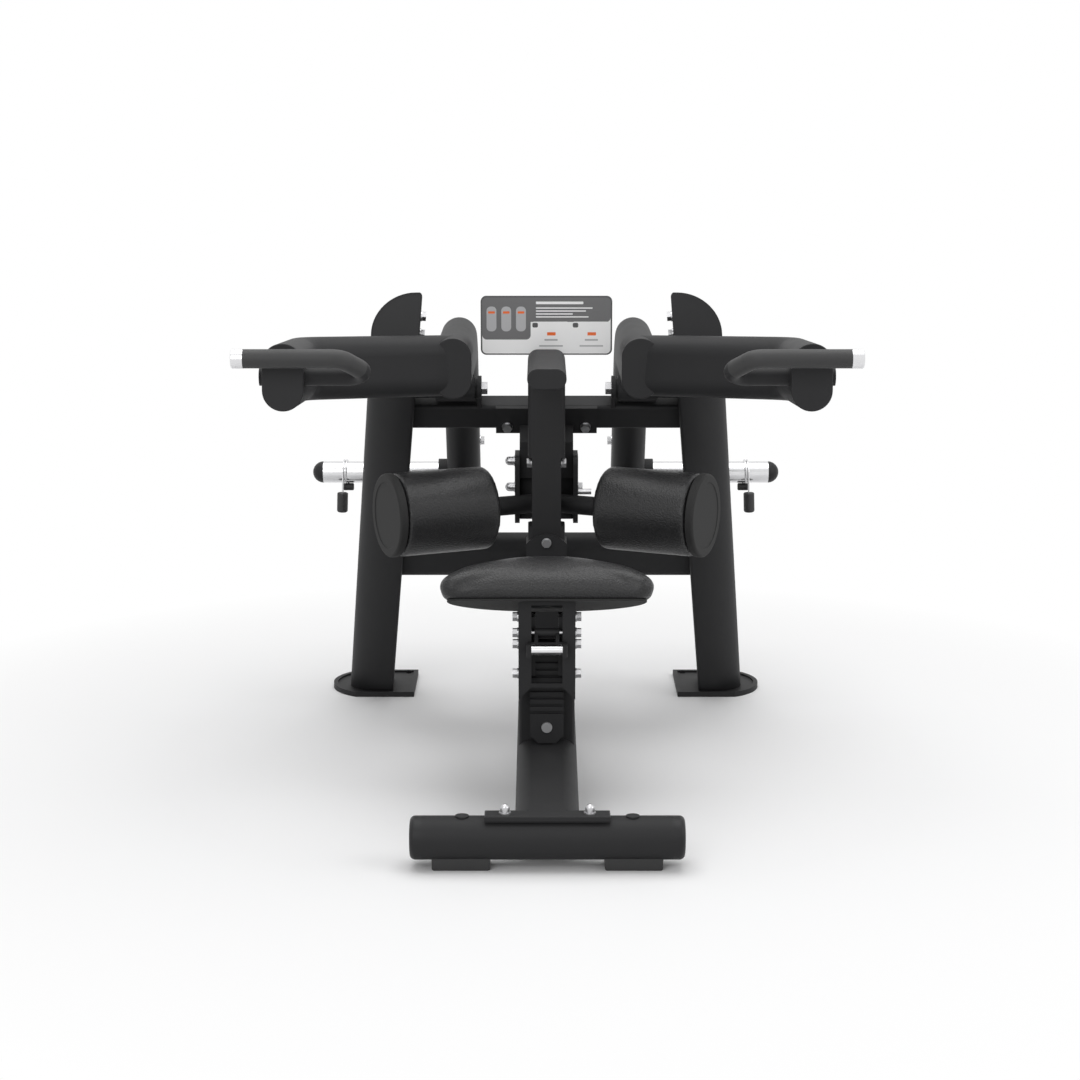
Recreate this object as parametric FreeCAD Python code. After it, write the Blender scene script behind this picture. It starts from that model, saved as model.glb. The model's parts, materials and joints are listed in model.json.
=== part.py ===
import FreeCAD, Part
import math
import os

# Seated dip machine, plate loaded, with two independent levers.
# Lengths are millimetres and angles degrees. X runs across, Y runs back from the front face
# of the front foot, away from the user, and Z runs up from the floor. Each node is written with
# the middle of the machine's length moved to Y zero.

V = FreeCAD.Vector

# Shared stock, fits and hardware
TUBE_WALL = 4.0
TURN_GAP = 0.05
MEET_GAP = 0.0005
SLIDE_GAP = 0.4
FIT_GAP = 0.3
OVERRUN = 6.0
CAP_T = 6.0
BOLT_R = 6.0
HEAD_FLATS = 18.0
HEAD_T = 8.0
WASHER_R = 11.0
WASHER_T = 2.5
BOLT_GRIP = 14.0
CAP_NUT_R = 9.5
CAP_NUT_T = 9.0
ALONG_SHARE = 0.9

# Front foot
FOOT_D = 80.0
FOOT_LENGTH = 500.0
FOOT_CAP_LENGTH = 22.0
FOOT_CAP_EDGE = 10.0
FOOT_CAP_SPIGOT = 20.0
PAD_HEIGHT = 16.0
PAD_CRADLE = 7.0
PAD_FROM_CAP = 18.0
PAD_LENGTH = 106.0
PAD_DEPTH = 44.0
PAD_EDGE = 5.0
PLUG_PLACE_SHARE = 0.36
PLUG_R = 12.5
PLUG_T = 2.0
SADDLE_HALF_X = 114.0
SADDLE_FRONT_Y = 12.0
SADDLE_DEPTH = 38.0
SADDLE_T = 9.0
SADDLE_RIB = 8.0
SADDLE_EDGE = 3.0
SADDLE_BOLT_X = 77.0
DOME_NUT_R = 8.5
DOME_NUT_T = 7.0

# Base beam
BEAM_WIDTH = 118.0
BEAM_HEIGHT = 60.0
BEAM_FRONT_Z = 75.0
BEAM_SLOPE = 3.0
BEAM_BEND_Y = 840.0
BEAM_BEND_R = 150.0

# Legs and rear feet
LEG_LEAN = 60.0
LEG_WIDTH = 100.0
LEG_DEPTH = 110.0
LEG_CORNER = 7.0
LEG_FLAT = 14.0
LEG_FRONT_Y = 1201.5
LEG_BASE_GAP = 353.3
LEG_TOP_GAP = 253.6
LEG_FRONT_LENGTH = 933.0
LEG_BACK_LENGTH = 1052.0
PLATE_T = 8.0
PLATE_RIM = 4.0
PLATE_RIM_WIDTH = 10.0
PLATE_INNER_REACH = 49.0
PLATE_OUTER_REACH = 44.0
PLATE_FRONT_REACH = 15.0
PLATE_DEPTH = 200.0
PLATE_BULGE_SHARE = 0.6
ANCHOR_R = 7.0
ANCHOR_INSET_X = 22.0
ANCHOR_INSET_Y = 15.0
LEG_BOLT_EDGE = 8.5
LEG_BOLT_PITCH = 45.0
LEG_BOLT_INSET = 26.0

# Crossbars between the legs
UPPER_BAR_UP_LEG = 784.0
UPPER_BAR_HEIGHT = 60.0
UPPER_BAR_DEPTH = 44.0
UPPER_BAR_CORNER = 8.0
LOWER_BAR_UP_LEG = 381.0
LOWER_BAR_HEIGHT = 110.0
LOWER_BAR_DEPTH = 52.0
CENTRE_PLATE_HALF_X = 106.0
CENTRE_PLATE_T = 9.0
CENTRE_PLATE_LAP = 3.0
CENTRE_BOLT_X = 82.0
CENTRE_BOLT_DROP = 14.0

# Mast, its socket and head, and the placard
MAST_WIDTH = 76.0
MAST_DEPTH = 60.0
MAST_FRONT_Y = 710.0
MAST_CORNER = 10.0
SOCKET_SIDE = 4.0
SOCKET_FRONT = 10.0
SOCKET_TOP_Z = 482.0
SOCKET_ARCH_RISE = 20.0
SOCKET_BOLT_DROP = 17.0
WAIST_WIDTH = 60.0
WAIST_BOTTOM_Z = 497.0
WAIST_TOP_Z = 640.0
WAIST_BOLT_DROP = 14.0
HEAD_WIDTH = 77.0
HEAD_HEIGHT = 41.0
HEAD_Z = 832.5
HEAD_FRONT_REACH = 215.0
HEAD_BACK_REACH = 30.0
MAST_TIE_WIDTH = 50.0
MAST_TIE_HEIGHT = 36.0
PLACARD_HALF_X = 137.0
PLACARD_BOTTOM_Z = 837.0
PLACARD_HEIGHT = 123.0
PLACARD_T = 4.0
PLACARD_CORNER = 12.0
PLACARD_SETBACK = 40.0
STRAP_HALF_X = 22.0
STRAP_T = 5.0
STRAP_RISE = 75.0
STRAP_FOOT_T = 20.0

# Thigh rollers, their axle and bracket
ROLLER_D = 172.0
ROLLER_LENGTH = 222.0
ROLLER_EDGE = 12.0
ROLLER_DISH = 6.0
ROLLER_SWEEP = 24.0
ROLLER_Z = 530.0
ROLLER_INNER = 136.0
COVER_T = 17.0
COVER_GROOVE = 2.0
COVER_EDGE = 6.0
COVER_WALL = 4.0
COVER_FACE_R = 67.0
COVER_FACE_STEP = 1.5
COVER_SPIGOT = 3.5
AXLE_D = 40.0
AXLE_CAP_T = 7.0
AXLE_COLLAR_T = 8.0
HUB_WALL = 8.0
HUB_FLANGE_R = 42.0
HUB_FLANGE_T = 4.0
AXLE_BEHIND_MAST = 36.0
HANGER_HALF_X = 56.0
HANGER_FRONT_Y = 810.0
HANGER_DEPTH = 80.0
HANGER_BOTTOM_Z = 581.0
HANGER_HEIGHT = 76.0
CHEEK_T = 10.0
CHEEK_FRONT_Y = 778.0
CHEEK_DEPTH = 100.0
CHEEK_BOTTOM_Z = 488.0
CHEEK_LAP = 51.0
CHEEK_CORNER = 18.0
CHEEK_BOLT_Y = 850.0
CHEEK_BOLT_LOW_Z = 555.0
CHEEK_BOLT_HIGH_Z = 611.0
CHEEK_PIN_Z = 554.0
CHEEK_PIN_Y = 800.0
CHEEK_PIN_R = 6.0
CHEEK_PIN_REACH = 28.0

# Lever pivots
PIVOT_RISE = 63.0
PIVOT_AXLE_R = 12.0
PIVOT_HOUSING_R = 28.0
PIVOT_HOUSING_PROUD = 3.0
PIVOT_PLATE_T = 8.5
PIVOT_PLATE_R = 26.0
PIVOT_WEB_SHARE = 0.96
PIVOT_SHOULDER_R = 20.0
PIVOT_HEAD_FLATS = 24.0
PIVOT_HEAD_T = 12.5
LEVER_SIDE_GAP = 5.0

# Levers
LEVER_X = 190.0
LEVER_WIDTH = 76.0
LEVER_HEIGHT = 124.0
LEVER_Z = 828.0
LEVER_FRONT_Y = 685.0
LEVER_STANDOFF = 311.0
LEVER_BEND_R = 150.0
LEVER_TAIL = 67.5
ARM_ROOT_Y = 739.0
ARM_ELBOW_X = 483.0
ARM_ELBOW_Y = 535.0
ARM_ELBOW_Z = 848.0
ARM_BEND_R = 90.0
ARM_END_Y = 226.0
ARM_END_Z = 872.5
HANDLE_D = 34.0
HANDLE_CORE_D = 28.0
HANDLE_ENTRY_Y = 258.0
HANDLE_INNER_X = 319.0
HANDLE_GRIP_X = 372.0
HANDLE_GRIP_Y = 170.0
HANDLE_GRIP_Z = 914.0
HANDLE_END_X = 569.0
HANDLE_BEND_R = 30.0
HANDLE_DISC_R = 14.0
HANDLE_DISC_T = 8.0
GRIP_D = 34.6
GRIP_START_SHARE = 0.45
RING_WIDTH = 21.6
RING_D = 35.4
RING_EDGE = 2.0

# Lever stops
STOP_ARM_WIDTH = 44.0
STOP_ARM_HEIGHT = 40.0
STOP_ARM_CORNER = 5.0
BUMPER_R = 17.0
BUMPER_T = 22.0

# Weight horns and their spring clips
HORN_FROM_END = 43.5
HORN_D = 50.0
HORN_LENGTH = 289.0
HORN_COLLAR_D = 62.0
HORN_COLLAR_T = 21.0
HORN_BALL_T = 25.0
HORN_BOLT_FROM_END = 139.0
CLIP_WIRE_D = 4.4
CLIP_PITCH = 6.0
CLIP_QUARTERS = 7
CLIP_FROM_TIP = 47.0
CLIP_TAIL = 44.0
CLIP_KNOB_D = 17.0
CLIP_KNOB_LENGTH = 25.0
CLIP_KNOB_EDGE = 3.0
CLIP_GRIP_D = 25.0
CLIP_GRIP_LENGTH = 46.0
CLIP_GRIP_EDGE = 5.0

# Seat post and rack
POST_WIDTH = 110.0
POST_FRONT_Y = 430.0
POST_DEPTH = 70.0
POST_TOP_Z = 295.0
POST_CORNER = 6.0
RACK_WIDTH = 66.0
RACK_T = 15.0
RACK_NECK_WIDTH = 40.0
RACK_NECK_T = 20.0
RACK_TOP_Z = 330.0
RACK_BOTTOM_Z = 127.0
RACK_CHAMFER = 16.0
RACK_GROOVE_DEPTH = 6.0
RACK_GROOVE_HEIGHT = 6.0
RACK_PITCH = 14.6
RACK_GROOVE_LOW_Z = 187.0
RACK_GROOVES = 10
RACK_SCREW_Z = 160.0
RACK_SCREW_R = 10.5
RACK_SCREW_T = 4.0

# Seat carriage
CARRIAGE_WALL = 6.0
CARRIAGE_ROOM = 29.0
CARRIAGE_BOTTOM_Z = 226.0
CARRIAGE_FLANGE = 25.0
CARRIAGE_RISE = 24.0
CARRIAGE_BAND = 8.0
CARRIAGE_TOP_T = 6.0
GUIDE_BOTTOM_Z = 266.0
GUIDE_HEIGHT = 118.0
GUIDE_BODY = 16.0
GUIDE_LIP = 6.5
GUIDE_REACH = 10.5
GUIDE_BOLT_GRIP = 15.0
SIDE_BOLT_R = 5.0
SIDE_BOLT_HEADS_Z = (387.0, 333.0, 274.0)
RELEASE_PIVOT_Z = 355.0
SIDE_BOLT_INSET = 12.0
SIDE_HEAD_FLATS = 16.0
SIDE_HEAD_T = 9.0
RELEASE_HUB_R = 9.0
RELEASE_HUB_HALF_X = 24.0
RELEASE_BAR_D = 22.0
RELEASE_BAR_HALF_X = 30.0
RELEASE_BAR_Z = 328.5
RELEASE_BAR_FRONT = 15.0
RELEASE_EAR_T = 9.5
RELEASE_EAR_EDGE = 4.0
RELEASE_ARM_T = 7.0
RELEASE_PAWL_T = 2.0

# Seat
SEAT_HALF_X = 206.0
SEAT_DEPTH = 290.0
SEAT_T = 91.0
SEAT_CORNER = 26.0
SEAT_EDGE_Y = 320.0
SEAT_EDGE_Z = 437.0
SEAT_TILT = 18.0
SEAT_BASE_T = 4.0
SEAT_BASE_INSET = 14.0
SEAT_LEVEL_SHARES = (0.0, 0.14, 0.31, 0.52, 0.67, 0.78, 0.89, 0.97, 1.0)
SEAT_INSET_SHARES = (0.055, 0.010, 0.0, 0.082, 0.208, 0.360, 0.560, 0.760, 0.880)

SIDES = {"left": -1, "right": 1}

UP_LEG = V(0, -math.cos(math.radians(LEG_LEAN)), math.sin(math.radians(LEG_LEAN)))
OFF_LEG = V(0, math.sin(math.radians(LEG_LEAN)), math.cos(math.radians(LEG_LEAN)))
LEG_SPLAY = (LEG_BASE_GAP - LEG_TOP_GAP) / LEG_BACK_LENGTH
LEG_FOOT = V(0, LEG_FRONT_Y, PLATE_T)
UPPER_BAR = LEG_FOOT + UP_LEG * UPPER_BAR_UP_LEG + OFF_LEG * (LEG_DEPTH / 2)
LOWER_BAR = LEG_FOOT + UP_LEG * LOWER_BAR_UP_LEG + OFF_LEG * (LEG_DEPTH / 2)
PIVOT = UPPER_BAR + UP_LEG * PIVOT_RISE
FOOT_AXIS = V(0, FOOT_D / 2, PAD_HEIGHT + FOOT_D / 2)
LEVER_TAIL_LINE = LOWER_BAR + OFF_LEG * LEVER_STANDOFF
LEVER_TAIL_END = LEVER_TAIL_LINE - UP_LEG * LEVER_TAIL
LEVER_CORNER = LEVER_TAIL_LINE + UP_LEG * ((LEVER_Z - LEVER_TAIL_LINE.z) / UP_LEG.z)
HORN = LEVER_TAIL_END + UP_LEG * HORN_FROM_END
MAST_BACK_Y = MAST_FRONT_Y + MAST_DEPTH
AXLE_APEX = V(0, MAST_BACK_Y + AXLE_BEHIND_MAST, ROLLER_Z)
CARRIAGE_BACK_Y = POST_FRONT_Y - SLIDE_GAP
RACK_FRONT_Y = POST_FRONT_Y - RACK_NECK_T - RACK_T
CARRIAGE_FRONT_Y = RACK_FRONT_Y - CARRIAGE_ROOM - CARRIAGE_WALL
SIDE_BOLT_Y = CARRIAGE_FRONT_Y + CARRIAGE_WALL + SIDE_BOLT_INSET
SEAT_ALONG = V(0, math.cos(math.radians(SEAT_TILT)), -math.sin(math.radians(SEAT_TILT)))
SEAT_UP = V(0, math.sin(math.radians(SEAT_TILT)), math.cos(math.radians(SEAT_TILT)))
SEAT_EDGE = V(0, SEAT_EDGE_Y, SEAT_EDGE_Z)


def unit(vector):
    """A copy of the vector with length one."""
    return V(vector).normalize()


def block(x0, x1, y0, y1, z0, z1):
    """A box between two limits on each axis."""
    return Part.makeBox(x1 - x0, y1 - y0, z1 - z0, V(x0, y0, z0))


def rod(start, end, radius):
    """A round bar between two points."""
    return Part.makeCylinder(radius, (end - start).Length, start, end - start)


def prism(points, travel):
    """A flat outline of points carried along a straight travel."""
    return Part.Face(Part.makePolygon(points + points[:1])).extrude(travel)


def one(shape):
    """The largest solid of a shape, cleaned of seams between its parts."""
    return max(shape.removeSplitter().Solids, key=lambda solid: solid.Volume)


def joined(shapes):
    """Shapes fused into one solid."""
    return one(shapes[0].multiFuse(shapes[1:]))


def trimmed(shape, *tools):
    """The largest piece that is left of a shape outside the tools."""
    return one(shape.cut(list(tools)))


def loop(edges):
    """A closed wire from edges in order, without those of no length."""
    return Part.Wire([edge for edge in edges if edge is not None])


def line(start, end):
    """A straight edge, or nothing where both ends meet."""
    return None if (end - start).Length < MEET_GAP else Part.makeLine(start, end)


def arc(start, middle, end):
    """A round edge through three points."""
    return Part.Arc(start, middle, end).toShape()


def rounded(width, height, radius):
    """A rounded rectangle about the origin in the XY plane."""
    edges = []
    spots = []
    for quarter, (sign_x, sign_y) in enumerate(((1, 1), (-1, 1), (-1, -1), (1, -1))):
        centre = V(sign_x * (width / 2 - radius), sign_y * (height / 2 - radius), 0)
        spots.append([centre + V(math.cos(a), math.sin(a), 0) * radius
                      for a in (math.radians(90 * quarter + step) for step in (0, 45, 90))])
    for index, spot in enumerate(spots):
        edges.append(arc(*spot))
        edges.append(line(spot[2], spots[(index + 1) % len(spots)][0]))
    return loop(edges)


def flat_oval(width, height):
    """A tube outline with two straight sides and two half-round ends."""
    return rounded(width, height, min(width, height) / 2)


def leg_outline(inset):
    """The leg's outline: a flat inner side at X zero and a half-oval outer side."""
    corner = max(LEG_CORNER - inset, LEG_CORNER / 3)
    low, high = inset, LEG_DEPTH - inset
    turn = corner * (1 - math.sqrt(0.5))
    flat = V(LEG_FLAT, LEG_DEPTH / 2, 0)
    oval = Part.Ellipse(V(LEG_WIDTH - inset, LEG_DEPTH / 2, 0), V(LEG_FLAT, high, 0), flat)
    return loop([
        line(V(inset, high - corner, 0), V(inset, low + corner, 0)),
        arc(V(inset, low + corner, 0), V(inset + turn, low + turn, 0), V(inset + corner, low, 0)),
        line(V(inset + corner, low, 0), V(LEG_FLAT, low, 0)),
        Part.ArcOfEllipse(oval, -math.pi / 2, math.pi / 2).toShape(),
        line(V(LEG_FLAT, high, 0), V(inset + corner, high, 0)),
        arc(V(inset + corner, high, 0), V(inset + turn, high - turn, 0), V(inset, high - corner, 0)),
    ])


def face_at(outer, inner, origin, across, up):
    """A section with an optional bore, set at a point with its own across and up directions."""
    face = Part.Face(outer)
    if inner is not None:
        face = face.cut(Part.Face(inner)).Faces[0]
    turn = FreeCAD.Rotation(across, up, across.cross(up), "XYZ")
    face.Placement = FreeCAD.Placement(origin, turn).multiply(face.Placement)
    return face


def bent_bar(face, path, radii):
    """Carry a section along straight runs joined by round bends."""
    pieces = []
    spot = path[0]
    for index in range(1, len(path)):
        heading = unit(path[index] - path[index - 1])
        last = index == len(path) - 1
        radius = 0 if last else radii[index - 1]
        onward = heading if last else unit(path[index + 1] - path[index])
        turn = heading.getAngle(onward)
        run_end = path[index] - heading * (radius * math.tan(turn / 2))
        pieces.append(face.extrude(run_end - spot))
        face = face.translated(run_end - spot)
        spot = run_end
        if not last:
            axis = unit(heading.cross(onward))
            centre = spot + axis.cross(heading) * radius
            pieces.append(face.revolve(centre, axis, math.degrees(turn)))
            face = face.rotated(centre, axis, math.degrees(turn))
            spot = centre + FreeCAD.Rotation(axis, math.degrees(turn)).multVec(spot - centre)
    return joined(pieces) if len(pieces) > 1 else pieces[0]


def round_bar(path, radii, radius, bore=0):
    """A round bar or tube along straight runs and bends."""
    heading = unit(path[1] - path[0])
    across = unit(heading.cross(V(0, 0, 1)))
    inner = Part.Wire(Part.makeCircle(bore)) if bore else None
    face = face_at(Part.Wire(Part.makeCircle(radius)), inner, path[0], across, across.cross(heading))
    return bent_bar(face, path, radii)


def lathe(profile, origin, axis):
    """Turn an outline of (along, radius) points about an axis through a point."""
    side = unit(axis.cross(V(0, 0, 1) if abs(axis.z) < ALONG_SHARE else V(1, 0, 0)))
    points = [origin + axis * along + side * radius for along, radius in profile]
    return Part.Face(Part.makePolygon(points + points[:1])).revolve(origin, axis, 360).Solids[0]


def edged(solid, size, chosen):
    """Round the chosen edges of a solid."""
    return one(solid.makeFillet(size, [edge for edge in solid.Edges if chosen(edge)]))


def hexagon(centre, axis, flats, height):
    """A hexagonal prism that stands on a point along an axis."""
    radius = flats / math.sqrt(3)
    side = unit(axis.cross(V(0, 0, 1) if abs(axis.z) < ALONG_SHARE else V(1, 0, 0)))
    points = [centre + FreeCAD.Rotation(axis, 60 * step).multVec(side * radius) for step in range(6)]
    return prism(points, axis * height)


def bolt(seat, axis, grip, radius=BOLT_R, flats=HEAD_FLATS, height=HEAD_T, washer=WASHER_R):
    """A hex bolt with its washer: the head stands out along the axis, the shank runs the other way."""
    return joined([
        rod(seat - axis * grip, seat + axis * (WASHER_T + height), radius),
        rod(seat, seat + axis * WASHER_T, washer),
        hexagon(seat + axis * WASHER_T, axis, flats, height),
    ])


def mirrored(solid):
    """The solid's twin on the other side of the symmetry plane."""
    return solid.mirror(V(0, 0, 0), V(1, 0, 0))


def both(solid):
    """A piece and its mirror twin."""
    return [solid, mirrored(solid)]


def leg_gap(y, z):
    """Half the width between the legs' inner faces at a place in the side view."""
    return LEG_BASE_GAP - LEG_SPLAY * (V(0, y, z) - LEG_FOOT).dot(UP_LEG)


def leg_bar(side, inset):
    """One leg's outline carried up its lean and splay, cut by the foot plate and the sloped top."""
    start = LEG_FOOT - UP_LEG * LEG_DEPTH + V(side * (LEG_BASE_GAP + LEG_SPLAY * LEG_DEPTH), 0, 0)
    length = LEG_BACK_LENGTH + 2 * LEG_DEPTH
    travel = (UP_LEG - V(side * LEG_SPLAY, 0, 0)) * length
    bar = face_at(leg_outline(inset), None, start, V(side, 0, 0), OFF_LEG).extrude(travel)
    reach = LEG_BASE_GAP + 2 * LEG_WIDTH
    floor = block(-reach, reach, LEG_FRONT_Y - LEG_DEPTH, LEG_FRONT_Y + 3 * LEG_DEPTH,
                  -LEG_DEPTH, PLATE_T)
    low = LEG_FOOT + UP_LEG * LEG_FRONT_LENGTH
    high = LEG_FOOT + UP_LEG * LEG_BACK_LENGTH + OFF_LEG * LEG_DEPTH
    slope = unit(high - low)
    beyond = UP_LEG * (2 * LEG_DEPTH)
    outline = [low - slope * OVERRUN, high + slope * OVERRUN, high + beyond, low + beyond]
    top = prism([point - V(reach, 0, 0) for point in outline], V(2 * reach, 0, 0))
    return trimmed(bar, floor, top)


def crossbar(centre, height, depth, corner, inset):
    """A bar between the legs, in line with their lean, with its ends inside both legs."""
    half = leg_gap(centre.y, centre.z) + LEG_WIDTH / 2
    outline = rounded(height - 2 * inset, depth - 2 * inset, corner - inset)
    return face_at(outline, None, centre - V(half, 0, 0), UP_LEG, OFF_LEG * -1).extrude(V(2 * half, 0, 0))


def beam_bar(inset):
    """The base beam: a gentle rise from the front foot, one bend, then up to the lower crossbar."""
    start = V(0, FOOT_AXIS.y, BEAM_FRONT_Z)
    bend = V(0, BEAM_BEND_Y, BEAM_FRONT_Z + (BEAM_BEND_Y - start.y) * math.tan(math.radians(BEAM_SLOPE)))
    heading = unit(bend - start)
    outline = flat_oval(BEAM_WIDTH - 2 * inset, BEAM_HEIGHT - 2 * inset)
    face = face_at(outline, None, start, V(1, 0, 0), V(1, 0, 0).cross(heading) * -1)
    return bent_bar(face, [start, bend, LOWER_BAR], [BEAM_BEND_R])


def saddle_block(low, high):
    """The saddle plate's box between two heights."""
    return block(-SADDLE_HALF_X, SADDLE_HALF_X, SADDLE_FRONT_Y, SADDLE_FRONT_Y + SADDLE_DEPTH, low, high)


def front_foot():
    """The cross tube under the front, with its end caps, plugs, pads, saddle plate and nuts."""
    half = FOOT_LENGTH / 2
    tube_end = half - FOOT_CAP_LENGTH
    radius = FOOT_D / 2
    ends = V(tube_end, 0, 0)
    solid = rod(FOOT_AXIS - ends, FOOT_AXIS + ends, radius)
    tube = solid.cut(rod(FOOT_AXIS - ends, FOOT_AXIS + ends, radius - TUBE_WALL))
    spigot = radius - TUBE_WALL - TURN_GAP
    edge = FOOT_CAP_EDGE
    rim = [(FOOT_CAP_LENGTH - edge * (1 - math.sin(a)), radius - edge * (1 - math.cos(a)))
           for a in (math.radians(step) for step in (0, 15, 30, 45, 60, 75, 90))]
    profile = [(-FOOT_CAP_SPIGOT, 0), (-FOOT_CAP_SPIGOT, spigot), (0, spigot), (0, radius)]
    cap = lathe(profile + rim + [(FOOT_CAP_LENGTH, 0)], FOOT_AXIS + ends, V(1, 0, 0))
    plug_x = SADDLE_HALF_X + (tube_end - SADDLE_HALF_X) * PLUG_PLACE_SHARE
    top = V(plug_x, FOOT_AXIS.y, FOOT_AXIS.z + radius)
    plug = rod(top - V(0, 0, TUBE_WALL), top + V(0, 0, PLUG_T), PLUG_R)
    stem = rod(top - V(0, 0, 2 * TUBE_WALL + PLUG_T), top, PLUG_R - PLUG_T)
    plug = plug.cut(solid).fuse(stem).removeSplitter().Solids[0]
    saddle_z = FOOT_AXIS.z + radius
    saddle = saddle_block(saddle_z, saddle_z + SADDLE_T)
    saddle = edged(saddle, SADDLE_EDGE, lambda e: e.CenterOfMass.z > saddle_z + SADDLE_T - TURN_GAP)
    rib = block(-SADDLE_HALF_X, SADDLE_HALF_X, FOOT_AXIS.y - radius / 2, SADDLE_FRONT_Y + SADDLE_DEPTH,
                saddle_z - SADDLE_RIB, saddle_z)
    plate = joined([saddle, trimmed(rib, solid)])
    nut_seat = V(SADDLE_BOLT_X, SADDLE_FRONT_Y + SADDLE_DEPTH / 2, saddle_z + SADDLE_T)
    nut = dome_nut(nut_seat, V(0, 0, 1), SADDLE_T + TUBE_WALL, DOME_NUT_R, DOME_NUT_T)
    stems = both(nut) + both(plug)
    tube = trimmed(tube, *stems)
    plate = trimmed(plate, *both(nut))
    pad_end = tube_end - PAD_FROM_CAP
    pad = block(pad_end - PAD_LENGTH, pad_end, FOOT_AXIS.y - PAD_DEPTH / 2,
                FOOT_AXIS.y + PAD_DEPTH / 2, 0, PAD_HEIGHT + PAD_CRADLE)
    pad = edged(pad, PAD_EDGE, lambda e: e.CenterOfMass.z < TURN_GAP
                and abs(e.tangentAt(e.FirstParameter).y) > ALONG_SHARE)
    return {
        "front_foot_tube": [tube],
        "front_foot_caps": both(cap) + both(plug),
        "front_foot_pads": both(trimmed(pad, solid)),
        "front_foot_plate": [plate],
        "foot_dome_nuts": both(nut),
    }


def dome_nut(seat, axis, grip, radius, height):
    """A domed nut on its washer, with the stud behind it."""
    top = WASHER_T + height
    washer = min(WASHER_R, radius + WASHER_T)
    profile = [(-grip, 0), (-grip, BOLT_R), (0, BOLT_R), (0, washer), (WASHER_T, washer),
               (WASHER_T, radius), (top, radius)]
    dome = [(top + radius * math.sin(a), radius * math.cos(a))
            for a in (math.radians(step) for step in (18, 36, 54, 72))]
    return lathe(profile + dome + [(top + radius, 0)], seat, axis)


def foot_plate(side):
    """A rear foot plate with a raised rim and two anchor holes; its outer end is rounded."""
    inner = LEG_BASE_GAP - PLATE_INNER_REACH
    outer = LEG_BASE_GAP + LEG_WIDTH + PLATE_OUTER_REACH
    front = LEG_FRONT_Y - PLATE_FRONT_REACH
    solid = plate_outline(side, inner, outer, front, 0, PLATE_T + PLATE_RIM)
    rim = PLATE_RIM_WIDTH
    recess = plate_outline(side, inner + rim, outer - rim, front + rim, PLATE_T, PLATE_T + PLATE_RIM)
    holes = [rod(V(side * x, y, -OVERRUN), V(side * x, y, PLATE_T + OVERRUN), ANCHOR_R)
             for x, y in anchor_places()]
    return trimmed(solid, recess, *holes)


def plate_outline(side, inner, outer, front, z0, z1):
    """A slab with a straight inner end and a round outer end."""
    middle = LEG_FRONT_Y - PLATE_FRONT_REACH + PLATE_DEPTH / 2
    half = middle - front
    turn = outer - half * PLATE_BULGE_SHARE
    near, far = middle - half, middle + half
    shoulder = V(side * turn, near, z0)
    wire = loop([
        line(V(side * inner, far, z0), V(side * inner, near, z0)),
        line(V(side * inner, near, z0), shoulder),
        arc(shoulder, V(side * outer, middle, z0), V(side * turn, far, z0)),
        line(V(side * turn, far, z0), V(side * inner, far, z0)),
    ])
    return Part.Face(wire).extrude(V(0, 0, z1 - z0))


def anchor_places():
    """The anchor holes' places on one foot plate, as distances across and back."""
    x = LEG_BASE_GAP - PLATE_INNER_REACH + ANCHOR_INSET_X
    front = LEG_FRONT_Y - PLATE_FRONT_REACH
    return [(x, front + ANCHOR_INSET_Y), (x, front + PLATE_DEPTH - ANCHOR_INSET_Y)]


def leg_cap(side):
    """The flat plug that closes a leg's sloped top, set inside its wall."""
    low = LEG_FOOT + UP_LEG * LEG_FRONT_LENGTH
    high = LEG_FOOT + UP_LEG * LEG_BACK_LENGTH + OFF_LEG * LEG_DEPTH
    slope = unit(high - low)
    inward = unit(V(1, 0, 0).cross(slope))
    inward = inward if inward.dot(UP_LEG) < 0 else inward * -1
    reach = LEG_BASE_GAP + LEG_WIDTH
    outline = [low - slope * OVERRUN, high + slope * OVERRUN,
               high + slope * OVERRUN + inward * CAP_T, low - slope * OVERRUN + inward * CAP_T]
    slab = prism([point - V(reach, 0, 0) for point in outline], V(2 * reach, 0, 0))
    return one(leg_bar(side, TUBE_WALL).common(slab))


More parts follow.
